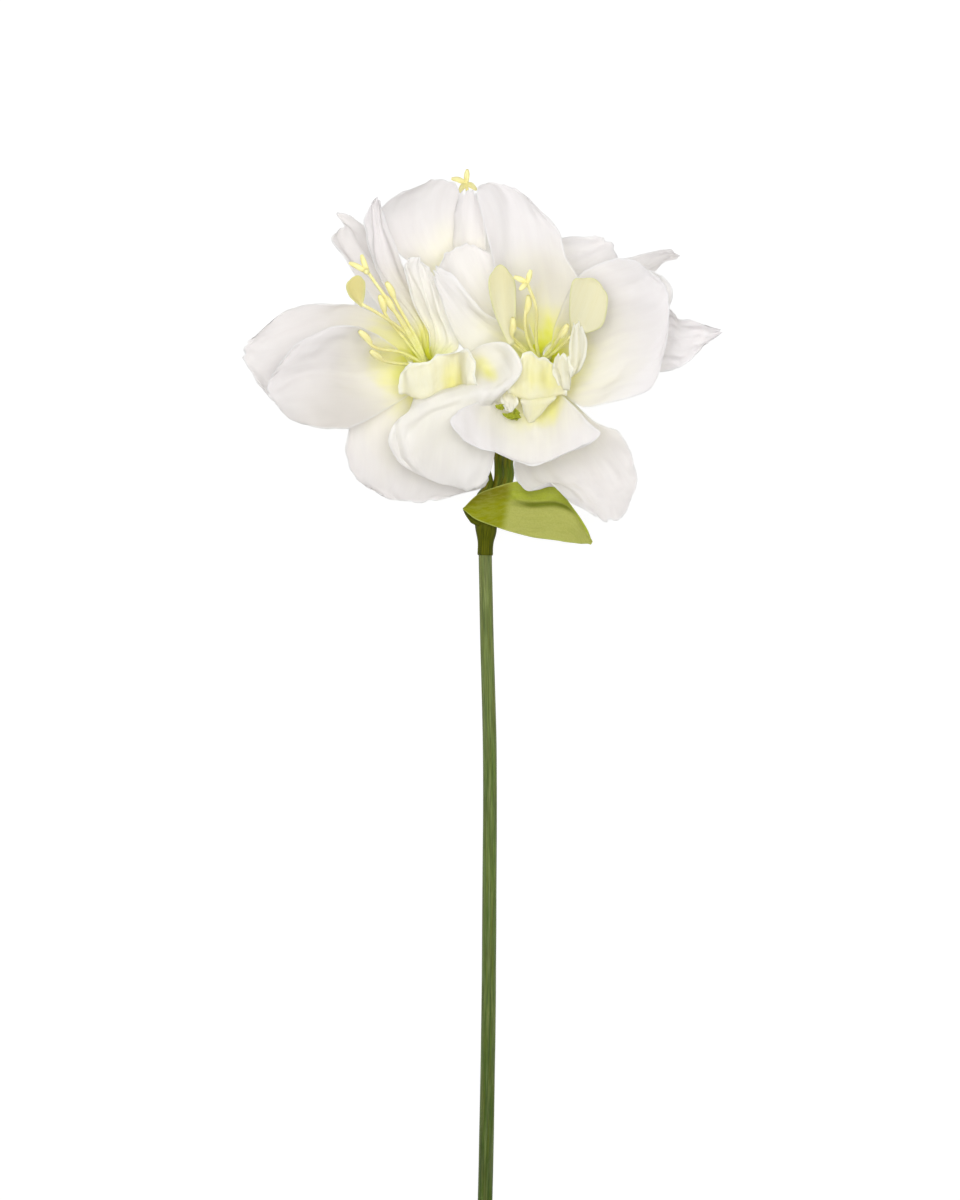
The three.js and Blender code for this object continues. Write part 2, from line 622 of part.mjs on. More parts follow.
for (const [name, bloom] of Object.entries(blooms)) {
  flower.add(meshOf(`stalk_${name}`, stalkGeometry(bloom), colours.collar, 0.6));
  flower.add(meshOf(`bloom_${name}`, bloomGeometry(bloom), colours.petal, 0.75));
  flower.add(meshOf(`stamens_${name}`, stamensGeometry(bloom), colours.stamen, 0.6));
}

const turn = new THREE.Matrix4()
  .makeRotationX(THREE.MathUtils.degToRad(leanAngle))
  .multiply(new THREE.Matrix4().makeRotationY(THREE.MathUtils.degToRad(rollAngle)));
for (const piece of flower.children) piece.geometry.applyMatrix4(turn);
const box = new THREE.Box3().setFromObject(flower, true);
const middle = box.getCenter(new THREE.Vector3());
for (const piece of flower.children) {
  piece.geometry.translate(-middle.x, -middle.y, -box.min.z);
  piece.geometry.computeVertexNormals();
}

export default flower;
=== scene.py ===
import math

import bpy
import numpy as np
from mathutils import Matrix, Vector


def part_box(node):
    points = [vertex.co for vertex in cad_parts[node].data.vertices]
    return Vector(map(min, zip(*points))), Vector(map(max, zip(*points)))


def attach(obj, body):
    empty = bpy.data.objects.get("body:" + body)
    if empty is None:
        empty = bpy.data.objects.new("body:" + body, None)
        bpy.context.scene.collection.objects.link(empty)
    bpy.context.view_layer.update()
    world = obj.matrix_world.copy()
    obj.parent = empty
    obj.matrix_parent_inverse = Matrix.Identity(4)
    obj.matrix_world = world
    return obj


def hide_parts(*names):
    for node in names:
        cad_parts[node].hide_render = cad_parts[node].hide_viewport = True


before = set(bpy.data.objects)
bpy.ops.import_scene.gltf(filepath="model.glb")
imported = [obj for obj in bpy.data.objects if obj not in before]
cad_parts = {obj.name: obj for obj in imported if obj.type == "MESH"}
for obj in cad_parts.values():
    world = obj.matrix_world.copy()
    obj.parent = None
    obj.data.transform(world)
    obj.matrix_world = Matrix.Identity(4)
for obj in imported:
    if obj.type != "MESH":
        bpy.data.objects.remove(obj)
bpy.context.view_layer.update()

# The flower is drawn upright, in millimetres: x to the right, y up the stem, z out of its face.
# laidDown then turns it on its back and brings it to where the solids lie.
pose = {"lean": 6.181, "roll": -0.685, "millimetre": 0.001}
leanTurn = Matrix.Rotation(math.radians(pose["lean"]), 4, "X")
leanTurn = leanTurn @ Matrix.Rotation(math.radians(pose["roll"]), 4, "Y")

noise = {"seed": 11, "cells": 97, "stepX": 17.3, "stepY": 9.1}
rng = np.random.default_rng(noise["seed"])
lattice = rng.uniform(-1, 1, (noise["cells"], noise["cells"]))


def smoothStep(low, high, x):
    k = np.clip((x - low) / (high - low), 0, 1)
    return k * k * (3 - 2 * k)


def point(numbers):
    return np.array(numbers, float)


def unit(v):
    return v / np.maximum(np.linalg.norm(v, axis=-1, keepdims=True), 1e-9)


def alongCurve(points, at):  # the smooth curve through points; at runs from 0 to 1
    points = np.asarray(points, float)
    ends = np.concatenate([[2 * points[0] - points[1]], points, [2 * points[-1] - points[-2]]])
    spot = np.clip(at, 0, 1) * (len(points) - 1)
    i = np.minimum(spot.astype(int), len(points) - 2)
    f = (spot - i).reshape((-1,) + (1,) * (points.ndim - 1))
    a, b, c, d = (ends[i + k] for k in range(4))
    return 0.5 * (2 * b + (c - a) * f + (2 * a - 5 * b + 4 * c - d) * f**2 + (3 * b - a - 3 * c + d) * f**3)


def softNoise(x, y, seed):  # smooth noise from -1 to 1, one lump to a unit
    x, y = x + noise["stepX"] * seed, y + noise["stepY"] * seed
    i, j = np.floor(x).astype(int), np.floor(y).astype(int)
    fx, fy = x - i, y - j
    fx, fy = fx * fx * (3 - 2 * fx), fy * fy * (3 - 2 * fy)

    def pick(a, b):
        return lattice[a % noise["cells"], b % noise["cells"]]

    low = pick(i, j) * (1 - fx) + pick(i + 1, j) * fx
    high = pick(i, j + 1) * (1 - fx) + pick(i + 1, j + 1) * fx
    return low * (1 - fy) + high * fy


def lineDistance(u, v, line):  # from each (u, v) to a drawn line, and how far along it the nearest spot is
    best, share = np.full(u.shape, np.inf), np.zeros(u.shape)
    for k in range(len(line) - 1):
        a, b = point(line[k]), point(line[k + 1])
        d = b - a
        f = np.clip(((u - a[0]) * d[0] + (v - a[1]) * d[1]) / (d @ d), 0, 1)
        away = np.hypot(u - a[0] - f * d[0], v - a[1] - f * d[1])
        share = np.where(away < best, (k + f) / (len(line) - 1), share)
        best = np.minimum(best, away)
    return best, share


noEdge = 9.0  # millimetres from the nearest cut edge, given to a rod, which has none


def rodParts(path, radiusAt, sides, steps, flute=None):  # a closed rod along a path of (x, y, z) points
    at = np.linspace(0, 1, steps + 1)
    centre = alongCurve(path, at)
    ahead = unit(np.gradient(centre, axis=0))
    side = np.zeros_like(ahead)
    side[0] = np.cross(ahead[0], [0.03, 0.05, 1.0] if abs(ahead[0][2]) < 0.9 else [1.0, 0, 0])
    for k in range(1, len(at)):
        side[k] = side[k - 1] - ahead[k] * (side[k - 1] @ ahead[k])
    side = unit(side)
    other = np.cross(ahead, side)
    angle = 2 * np.pi * np.arange(sides) / sides
    radius = np.array([radiusAt(s) for s in at])[:, None] * np.ones(sides)
    if flute is not None:
        radius = radius * (1 + flute(at[:, None], angle[None, :]))
    out = side[:, None] * np.cos(angle)[None, :, None] + other[:, None] * np.sin(angle)[None, :, None]
    spots = centre[:, None] + out * radius[..., None]
    length = np.concatenate([[0], np.cumsum(np.linalg.norm(np.diff(centre, axis=0), axis=1))])
    grain = np.stack(np.broadcast_arrays(length[:, None], angle[None] * radius.mean(), 0 * radius), -1)
    index = np.arange((steps + 1) * sides).reshape(steps + 1, sides)
    nextOne = np.roll(index, -1, axis=1)
    faces = np.stack([index[:-1], nextOne[:-1], nextOne[1:], index[1:]], -1).reshape(-1, 4).tolist()
    faces += [index[0][::-1].tolist(), index[-1].tolist()]
    return {
        "spots": spots.reshape(-1, 3),
        "faces": faces,
        "grain": grain.reshape(-1, 3),
        "edge": np.full(radius.size, noEdge),
        "along": np.broadcast_to(at[:, None], radius.shape).reshape(-1),
        "across": np.cos(np.broadcast_to(angle, radius.shape)).reshape(-1),
        "tint": np.ones(radius.size),
        "paintedLight": np.zeros(radius.size),
    }


# The small forms that every sheet has; how strong each one is stands in the sheet's own look.
# Lumps, folds and veins give millimetres along the sheet and across it. A name that ends in From gives
# the shares of the sheet's length over which the form sets in.
clothForms = {
    "lumps": (18, 9), "smallLumps": (8, 4), "smallLumpShare": 0.35,
    "folds": (9, 4.5), "smallFolds": (3.6, 3.0), "smallFoldShare": 0.5, "foldFade": 0.25,
    "veins": (60, 1.3), "veinFan": 0.6, "frillReach": 4.0, "frills": (9, 2.5),
    "ribWidth": 0.7, "ribReach": 4, "ribFrom": (0, 0.1), "pleatSway": 1.2, "pleatFrom": (0.05, 0.3),
    "sideLag": 0.35, "ruffleFrom": (0.25, 0.6), "freeFrom": (0.12, 0.5), "creaseFade": 5, "creaseEnd": 0.25,
    "nickFrom": (0.1, 0.45), "smallNicks": 2.7, "smallNickShare": 0.35, "endNicks": 0.6, "endNick": 1.3,
    "endRound": 0.1, "thinEdge": 0.45, "thinReach": 0.8, "fineRows": 160, "fineColumns": 96,
}


def sheetSpots(net, look, s, t):  # points on the smooth sheet, drawn in by nicks and by a rounded tip
    rows, columns = clothForms["fineRows"], clothForms["fineColumns"]
    lines = np.swapaxes(alongCurve(net, np.linspace(0, 1, rows + 1)), 0, 1)
    fine = alongCurve(lines, np.linspace(0, 1, columns + 1))
    seed, nicks = look["seed"], look["nicks"]
    side = np.sign(t) * 3.0  # a number added to this or to a seed only keeps one noise apart from another
    nick = 0.5 + 0.5 * softNoise(s * nicks, side, seed)
    smallNick = softNoise(s * nicks * clothForms["smallNicks"], side + 20, seed)
    nick += clothForms["smallNickShare"] * smallNick
    width = 1 - look["nick"] * nick * smoothStep(*clothForms["nickFrom"], s)
    width *= 1 - look["round"] * smoothStep(1 - look["tip"], 1, s) ** 2
    endNick = 0.5 + 0.5 * softNoise(t * nicks * clothForms["endNicks"], s * 0 + 31, seed)
    reach = 1 - look["nick"] * clothForms["endNick"] * endNick
    reach -= look["round"] * clothForms["endRound"] * t**2
    i = np.clip(s * reach, 0, 1) * rows
    j = (np.clip(t * width, -1, 1) + 1) / 2 * columns
    ia, ja = np.minimum(i.astype(int), rows - 1), np.minimum(j.astype(int), columns - 1)
    fi, fj = (i - ia)[..., None], (j - ja)[..., None]
    spots = fine[ja, ia] * (1 - fi) * (1 - fj) + fine[ja + 1, ia] * (1 - fi) * fj
    spots += fine[ja, ia + 1] * fi * (1 - fj) + fine[ja + 1, ia + 1] * fi * fj
    return spots


def sheetNormals(spots):
    return unit(np.cross(np.gradient(spots, axis=1), np.gradient(spots, axis=0)))


def sheetLift(look, spots, s, t, runs, phase):  # how far each point stands off the smooth sheet
    seed, free = look["seed"], smoothStep(*clothForms["freeFrom"], s)
    runAlong, runAcross, rim = runs

    def lumps(form, step):
        along, across = clothForms[form]
        return softNoise(runAlong / along, runAcross / across, seed + step)

    swing = 2 * np.pi * (look["waves"] * s + np.where(t > 0, clothForms["sideLag"], 0)) + phase
    lift = look["ruffle"] * np.abs(t) ** 3 * smoothStep(*clothForms["ruffleFrom"], s) * np.sin(swing)
    frill = look["frill"] * np.exp(-rim / clothForms["frillReach"])
    frillsAlong, frillsAcross = clothForms["frills"]
    lift += frill * free * softNoise(s * frillsAlong, t * frillsAcross + 7, seed)
    lift += look["soft"] * free * lumps("lumps", 0)
    lift += clothForms["smallLumpShare"] * look["soft"] * free * lumps("smallLumps", 11)
    folds = 1 - np.abs(lumps("folds", 3)) * 2
    folds += clothForms["smallFoldShare"] * (1 - np.abs(lumps("smallFolds", 5)) * 2)
    lift += look["crumple"] * smoothStep(look["from"], look["from"] + clothForms["foldFade"], s) * folds
    sway = clothForms["pleatSway"] * softNoise(s * 3, t, seed)
    pleats = np.cos(np.pi * look["pleats"] * t + sway)
    lift += look["pleat"] * smoothStep(*clothForms["pleatFrom"], s) * pleats
    rib = look["rib"] * np.tanh(runAcross / clothForms["ribWidth"])
    rib = rib * np.exp(-np.abs(runAcross) / clothForms["ribReach"])
    lift += rib * smoothStep(*clothForms["ribFrom"], s)
    veinLength, veinWidth = clothForms["veins"]
    fan = 1 + clothForms["veinFan"] * (1 - s)
    furrows = softNoise(runAcross / veinWidth * fan, runAlong / veinLength, seed + 8)
    lift -= look["vein"] * np.abs(furrows) * free
    towardFace = np.where(sheetNormals(spots)[..., 2] < 0, -1.0, 1.0)
    for depth, breadth, line in look["creases"]:
        away, share = lineDistance(spots[..., 0], spots[..., 1], line)
        fade = np.minimum(share, 1 - share) * clothForms["creaseFade"] + clothForms["creaseEnd"]
        fade = np.minimum(1, fade)
        lift -= towardFace * depth * fade * np.exp(-((away / breadth) ** 2))
    return lift + look["curl"] * smoothStep(look["lip"], 0, rim) ** 2 * free


def sheetParts(net, look):  # a closed thin sheet through a net of rows of points
    net = np.asarray(net, float)
    rows, columns = look["rows"], look["columns"]
    s, t = np.meshgrid(np.linspace(0, 1, rows + 1), np.linspace(-1, 1, columns + 1), indexing="ij")
    spots = sheetSpots(net, look, s, t)
    stepAlong = np.linalg.norm(np.diff(spots, axis=0), axis=-1)
    stepAcross = np.linalg.norm(np.diff(spots, axis=1), axis=-1)
    runAlong = np.vstack([np.zeros(columns + 1), np.cumsum(stepAlong, axis=0)])
    runAcross = np.hstack([np.zeros((rows + 1, 1)), np.cumsum(stepAcross, axis=1)])
    runAcross -= runAcross[:, columns // 2][:, None]
    rim = np.minimum(runAcross - runAcross[:, :1], runAcross[:, -1:] - runAcross)
    rim = np.minimum(rim, runAlong[-1:] - runAlong)
    lift = sheetLift(look, spots, s, t, (runAlong, runAcross, rim), net[0][0][0])
    spots = spots + sheetNormals(spots) * lift[..., None]

    def mark(x, y, breadth, amount):  # a soft round mark on the sheet
        return amount * np.exp(-((spots[..., 0] - x) ** 2 + (spots[..., 1] - y) ** 2) / breadth**2)

    # spots of cream and yellow tint, partly the cloth's own colour and partly painted warm shade
    clear = np.ones_like(s)
    for creamAndShadeSpot in look["creamAndShadeSpots"]:
        clear *= 1 - mark(*creamAndShadeSpot)
    # painted light, or painted shade where the sheet's amount is below zero; less of it on the tint spots
    paintedLight = look["paintedLight"] * clear**2
    # spots of painted light; a spot with a negative amount paints shade
    for glow in look["paintedLightSpots"]:
        paintedLight = paintedLight + mark(*glow)
    thin = clothForms["thinEdge"]
    share = thin + (1 - thin) * smoothStep(0, clothForms["thinReach"], rim)
    offset = sheetNormals(spots) * (look["thickness"] / 2 * share[..., None])
    size = (rows + 1) * (columns + 1)
    index = np.arange(size).reshape(rows + 1, columns + 1)
    quads = np.stack([index[:-1, :-1], index[:-1, 1:], index[1:, 1:], index[1:, :-1]], -1).reshape(-1, 4)
    ring = np.concatenate([index[0, :-1], index[:-1, -1], index[-1, :0:-1], index[:0:-1, 0]])
    after = np.roll(ring, -1)
    edges = np.stack([ring, ring + size, after + size, after], -1)
    grain = np.stack([runAlong, runAcross, np.full_like(s, 3.7 * look["seed"])], -1)

    def bothSides(front, rear=None):
        sides = np.stack([front, front if rear is None else rear])
        return sides.reshape(-1, *front.shape[2:])

    return {
        "spots": bothSides(spots + offset, spots - offset),
        "faces": quads.tolist() + (quads[:, ::-1] + size).tolist() + edges.tolist(),
        "grain": bothSides(grain),
        "edge": bothSides(rim),
        "along": bothSides(s),
        "across": bothSides(t),
        "tint": bothSides(look["tint"] * clear),
        "paintedLight": bothSides(paintedLight),
    }


def joinParts(parts):
    faces, count = [], 0
    for part in parts:
        faces += [[k + count for k in face] for face in part["faces"]]
        count += len(part["spots"])
    keys = [key for key in parts[0] if key != "faces"]
    return {"faces": faces, **{key: np.concatenate([part[key] for part in parts]) for key in keys}}


def makePiece(name, parts, material, nodes, centre=None):  # a bloom's colours fade from its centre
    mesh = bpy.data.meshes.new(name)
    turn, move = np.array(laidDown.to_3x3()), np.array(laidDown.translation)
    spots = (parts["spots"] * pose["millimetre"]) @ turn.T + move
    mesh.from_pydata(spots.tolist(), [], parts["faces"])
    mesh.shade_smooth()
    values = {label: parts[label] for label in ("edge", "along", "across", "paintedLight")}
    if centre is not None:
        values["reach"] = np.linalg.norm(parts["spots"] - np.array(centre), axis=1) * parts["tint"]
    for label, value in values.items():
        mesh.attributes.new(label, "FLOAT", "POINT").data.foreach_set("value", value.astype(np.float32))
    grain = mesh.attributes.new("grain", "FLOAT_VECTOR", "POINT")
    grain.data.foreach_set("vector", parts["grain"].astype(np.float32).ravel())
    mesh.materials.append(material)
    mesh.update()
    piece = bpy.data.objects.new(name, mesh)
    bpy.context.scene.collection.objects.link(piece)
    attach(piece, "root")
    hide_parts(*nodes)


def colour(red, green, blue):  # screen values from 0 to 255
    values = [c / 255 for c in (red, green, blue)]
    return tuple(c / 12.92 if c <= 0.04045 else ((c + 0.055) / 1.055) ** 2.4 for c in values) + (1.0,)


def addNode(tree, kind, inputs, **settings):  # an input is given a value, or linked to another node's output
    node = tree.nodes.new("ShaderNode" + kind)
    for label, setting in settings.items():
        setattr(node, label, setting)
    for label, value in inputs.items():
        if isinstance(value, bpy.types.NodeSocket):
            tree.links.new(value, node.inputs[label])
        elif value is not None:
            node.inputs[label].default_value = value
    return node.outputs


def sums(tree, operation, *values):
    return addNode(tree, "Math", dict(enumerate(values)), operation=operation)[0]


def ranged(tree, value, span, newSpan=(0.0, 1.0)):  # carries span over to newSpan, with soft ends
    labels = ("Value", "From Min", "From Max", "To Min", "To Max")
    inputs = dict(zip(labels, (value, *span, *newSpan)))
    return addNode(tree, "MapRange", inputs, interpolation_type="SMOOTHSTEP")["Result"]


def blendColours(tree, share, a, b, how="MIX"):  # inputs 6 and 7 and output 2 are the node's colours
    return addNode(tree, "Mix", {"Factor": share, 6: a, 7: b}, data_type="RGBA", blend_type=how)[2]


def noiseAt(tree, vector, scale, detail=3.0, roughness=0.5):
    inputs = {"Vector": vector, "Scale": scale, "Detail": detail, "Roughness": roughness}
    return addNode(tree, "TexNoise", inputs)["Fac"]


def scaledVector(tree, vector, factors):
    return addNode(tree, "VectorMath", {0: vector, 1: factors}, operation="MULTIPLY")[0]


def attribute(tree, label):
    return addNode(tree, "Attribute", {}, attribute_name=label)["Vector" if label == "grain" else "Fac"]


kinds = {"value": "NodeSocketFloat", "colour": "NodeSocketColor", "vector": "NodeSocketVector"}


def newGroup(name, inputs, outLabel, outKind):  # an input is a kind, or the number that a value starts from
    group = bpy.data.node_groups.new(name, "ShaderNodeTree")
    for label, given in inputs.items():
        kind = given if given in kinds else "value"
        socket = group.interface.new_socket(label, in_out="INPUT", socket_type=kinds[kind])
        if kind == "value":
            socket.default_value = given
    group.interface.new_socket(outLabel, in_out="OUTPUT", socket_type=kinds[outKind])
    entry, leaving = group.nodes.new("NodeGroupInput"), group.nodes.new("NodeGroupOutput")
    return group, entry.outputs, leaving.inputs[outLabel]


def useGroup(tree, group, **inputs):
    return addNode(tree, "Group", inputs, node_tree=group)[0]


throatBands = {  # the share of its spread over which each colour takes over
    "yellow": (0.12, 0.3), "cream": (0.2, 0.5), "white": (0.42, 0.95), "drift": 0.22, "driftScale": 0.11,
}


def makeThroatTint():  # yellow-green in the throat, then yellow, cream and white
    inputs = {"Reach": 0.0, "Spread": 60.0, "Grain": "vector"}
    inputs.update({label: "colour" for label in ("Green", "Yellow", "Cream", "White")})
    group, given, out = newGroup("throatTint", inputs, "Color", "colour")
    drift = noiseAt(group, given["Grain"], throatBands["driftScale"], detail=2.0)
    drift = sums(group, "MULTIPLY_ADD", drift, throatBands["drift"], -throatBands["drift"] / 2)
    part = sums(group, "ADD", sums(group, "DIVIDE", given["Reach"], given["Spread"]), drift)
    tint = given["Green"]
    for label in ("yellow", "cream", "white"):
        tint = blendColours(group, ranged(group, part, throatBands[label]), tint, given[label.capitalize()])
    group.links.new(tint, out)
    return group


threadForms = {"weave": 0.35, "slubStretch": (0.5, 3.0, 1.0)}


def makeClothGrain():  # woven threads with a little slub, as a height
    inputs = {"Grain": "vector", "Threads": 4.0, "Slub": 0.5}
    group, given, out = newGroup("clothGrain", inputs, "Height", "value")
    parts = addNode(group, "SeparateXYZ", {0: given["Grain"]})
    rate = sums(group, "MULTIPLY", given["Threads"], 2 * math.pi)
    warp = sums(group, "SINE", sums(group, "MULTIPLY", parts["X"], rate))
    weft = sums(group, "SINE", sums(group, "MULTIPLY", parts["Y"], rate))
    weave = sums(group, "MULTIPLY", sums(group, "MULTIPLY", warp, weft), threadForms["weave"])
    stretched = scaledVector(group, given["Grain"], threadForms["slubStretch"])
    slub = noiseAt(group, stretched, 1.0, detail=4.0, roughness=0.6)
    slub = sums(group, "MULTIPLY", slub, given["Slub"])
    group.links.new(sums(group, "ADD", weave, slub), out)
    return group


def stretchedGrain(group, given):  # the grain scaled by the group's own Along and Around
    stretch = addNode(group, "CombineXYZ", {"X": given["Along"], "Y": given["Around"], "Z": 1.0})
    return scaledVector(group, given["Grain"], stretch[0])


def makeMottle():  # cloudy patches and lengthwise streaks over a colour
    inputs = {"Color": "colour", "Patch": "colour", "Grain": "vector", "Along": 0.05, "Around": 0.3}
    group, given, out = newGroup("mottle", {**inputs, "Amount": 0.5}, "Color", "colour")
    cloud = noiseAt(group, stretchedGrain(group, given), 1.0, detail=4.0, roughness=0.55)
    patches = ranged(group, cloud, (0.38, 0.68))
    share = sums(group, "MULTIPLY", patches, given["Amount"])
    group.links.new(blendColours(group, share, given["Color"], given["Patch"]), out)
    return group


def makeEdgeLight():  # a painted highlight along the edge of a sheet, partly its paler cut edge, as a colour
    inputs = {"Color": "colour", "Rim": "colour", "Edge": 0.0, "Breadth": 1.2, "Amount": 0.5}
    group, given, out = newGroup("edgeLight", inputs, "Color", "colour")
    near = ranged(group, given["Edge"], (0.0, given["Breadth"]), (1.0, 0.0))
    share = sums(group, "MULTIPLY", near, given["Amount"])
    group.links.new(blendColours(group, share, given["Color"], given["Rim"]), out)
    return group


def makeVeins():  # fine lines that run out along a petal or leaf
    group, given, out = newGroup("veins", {"Grain": "vector", "Along": 0.02, "Around": 0.9}, "Mask", "value")
    lines = noiseAt(group, stretchedGrain(group, given), 1.0, detail=2.0)
    fromLine = sums(group, "ABSOLUTE", sums(group, "SUBTRACT", lines, 0.5))
    group.links.new(ranged(group, fromLine, (0.0, 0.06), (1.0, 0.0)), out)
    return group


throatTint, clothGrain, mottle = makeThroatTint(), makeClothGrain(), makeMottle()
edgeLight, veins = makeEdgeLight(), makeVeins()


def newMaterial(name, look):
    material = bpy.data.materials.new(name)
    material.use_nodes = True
    tree = material.node_tree
    surface = tree.nodes["Principled BSDF"]
    surface.inputs["Roughness"].default_value = look["roughness"]
    surface.inputs["Specular IOR Level"].default_value = look["specular"]
    surface.inputs["Sheen Weight"].default_value = look.get("sheen", 0.0)
    return material, tree, surface


def bumped(tree, surface, height, look):
    inputs = {"Height": height, "Strength": look["bump"], "Distance": look["bumpDepth"]}
    tree.links.new(addNode(tree, "Bump", inputs)["Normal"], surface.inputs["Normal"])


def letLightThrough(tree, surface, tint, share):  # thin cloth glows a little when lit from behind
    glow = addNode(tree, "BsdfTranslucent", {"Color": tint})
    both = addNode(tree, "MixShader", {0: share, 1: surface.outputs[0], 2: glow[0]})
    tree.links.new(both[0], tree.nodes["Material Output"].inputs["Surface"])


def addMottle(tree, tint, patch, grain, stretch):  # stretch holds the group's Along, Around and Amount
    return useGroup(tree, mottle, Color=tint, Patch=colour(*patch), Grain=grain, **stretch)


def addRim(tree, tint, look):
    # a painted highlight along the sheet's cut edge
    return useGroup(
        tree, edgeLight, Color=tint, Rim=colour(*look["rim"]), Edge=attribute(tree, "edge"),
        Breadth=look["rimBreadth"], Amount=look["rimHighlightAmount"],
    )


def addShade(tree, tint, mask, share, shade, how="MIX"):
    return blendColours(tree, sums(tree, "MULTIPLY", mask, share), tint, colour(*shade), how)


petalCloth = {
    "white": (246, 244, 244), "cream": (250, 248, 238), "yellow": (252, 250, 186), "green": (238, 241, 70),
    # the first two colours on the next line are painted light and painted shade
    "paintedLight": (254, 253, 251), "paintedShade": (226, 222, 216), "spread": 64.0,
    "rim": (252, 252, 253), "rimBreadth": 1.4, "rimHighlightAmount": 0.55, "shadowTint": (238, 234, 234),
    "mottle": {"Along": 0.03, "Around": 0.22, "Amount": 0.25},
    "veins": {"Along": 0.015, "Around": 0.5}, "veinTint": 0.05, "veinDepth": 0.5,
    "threads": 2.6, "slub": 0.6, "roughness": 0.72, "sheen": 0.1, "specular": 0.3, "through": 0.5,
    "bump": 0.25, "bumpDepth": 0.0002,
}
frillCloth = {
    **petalCloth, "white": (250, 249, 244), "cream": (252, 250, 230), "yellow": (252, 249, 164),
    "green": (236, 240, 86), "paintedLight": (252, 251, 242), "paintedShade": (214, 208, 160), "spread": 50.0,
    "rim": (254, 254, 250), "rimBreadth": 2.2, "rimHighlightAmount": 0.9, "shadowTint": (236, 230, 180),
    "roughness": 0.7, "sheen": 0.08,
}
# the dark green of the scraps that paint the shade between petals
shadeScrapCloth = {
    **frillCloth, "white": (186, 190, 70), "cream": (182, 186, 64), "yellow": (188, 194, 60),
    "green": (172, 180, 44), "paintedLight": (190, 194, 90), "paintedShade": (130, 140, 20),
    "rim": (206, 210, 110), "rimBreadth": 0.6, "rimHighlightAmount": 0.6, "shadowTint": (170, 176, 60),
    "through": 0.3,
}
paddleCloth = {
    **petalCloth, "white": (224, 214, 142), "cream": (228, 225, 194), "yellow": (226, 224, 140),
    "green": (206, 207, 84), "paintedLight": (242, 239, 212), "paintedShade": (200, 192, 120), "spread": 80.0,
    "rim": (228, 230, 166), "rimHighlightAmount": 0.5, "shadowTint": (232, 222, 150),
    "roughness": 0.62, "sheen": 0.06, "through": 0.3, "bump": 0.2,
}


def makeCloth(name, look):
    material, tree, surface = newMaterial(name, look)
    grain, paintedLight, reach = (attribute(tree, label) for label in ("grain", "paintedLight", "reach"))
    bands = {label.capitalize(): colour(*look[label]) for label in ("green", "yellow", "cream", "white")}
    tint = useGroup(tree, throatTint, Reach=reach, Spread=look["spread"], Grain=grain, **bands)
    tint = addMottle(tree, tint, look["shadowTint"], grain, look["mottle"])
    # painted light pulls towards the light colour; a negative amount paints shade, towards the shade colour
    tint = blendColours(tree, paintedLight, tint, colour(*look["paintedLight"]))
    tint = addShade(tree, tint, paintedLight, -1.0, look["paintedShade"])
    lines = useGroup(tree, veins, Grain=grain, **look["veins"])
    tint = addShade(tree, tint, lines, look["veinTint"], look["shadowTint"], "MULTIPLY")
    tint = addRim(tree, tint, look)
    tree.links.new(tint, surface.inputs["Base Color"])
    weave = useGroup(tree, clothGrain, Grain=grain, Threads=look["threads"], Slub=look["slub"])
    height = sums(tree, "SUBTRACT", weave, sums(tree, "MULTIPLY", lines, look["veinDepth"]))
    bumped(tree, surface, height, look)
    letLightThrough(tree, surface, tint, look["through"])
    return material


stamenWax = {
    "foot": (232, 234, 146), "tip": (238, 229, 156), "fade": (12.0, 40.0), "patch": (245, 242, 192),
    "mottle": {"Along": 0.3, "Around": 0.8, "Amount": 0.6}, "roughness": 0.55, "specular": 0.35,
    "dents": 1.6, "bump": 0.3, "bumpDepth": 0.0003, "inside": 0.2, "insideReach": (0.002, 0.002, 0.001),
}


def makeStamenWax(name, look):  # soft moulded plastic, greener at the foot
    material, tree, surface = newMaterial(name, look)
    grain = attribute(tree, "grain")
    share = ranged(tree, attribute(tree, "reach"), look["fade"])
    tint = blendColours(tree, share, colour(*look["foot"]), colour(*look["tip"]))
    tint = addMottle(tree, tint, look["patch"], grain, look["mottle"])
    tree.links.new(tint, surface.inputs["Base Color"])
    bumped(tree, surface, noiseAt(tree, grain, look["dents"]), look)
    surface.inputs["Subsurface Weight"].default_value = look["inside"]
    surface.inputs["Subsurface Radius"].default_value = look["insideReach"]
    return material


def addStreaks(tree, surface, tint, grain, look):  # dark lengthwise streaks, pressed into the plastic
    streaks = useGroup(tree, veins, Grain=grain, **look["streaks"])
    tint = addShade(tree, tint, streaks, look["streakShare"], look["dark"])
    tree.links.new(tint, surface.inputs["Base Color"])
    dents = noiseAt(tree, grain, look["dents"], detail=4.0)
    bumped(tree, surface, sums(tree, "SUBTRACT", dents, streaks), look)


stemPlastic = {
    "foot": (70, 94, 4), "middle": (104, 128, 56), "top": (134, 142, 80), "halfWay": 0.45,
    "patch": (144, 154, 100), "olive": (92, 88, 14), "dark": (36, 66, 18),
    "patches": [("patch", 0.55, 0.5), ("olive", 0.42, 0.45), ("dark", 0.7, 0.45)], "patchAlong": 0.045,
    "streaks": {"Along": 0.02, "Around": 0.8}, "streakShare": 0.35,
    "roughness": 0.5, "specular": 0.22, "dents": 0.8, "bump": 0.5, "bumpDepth": 0.0005,
}


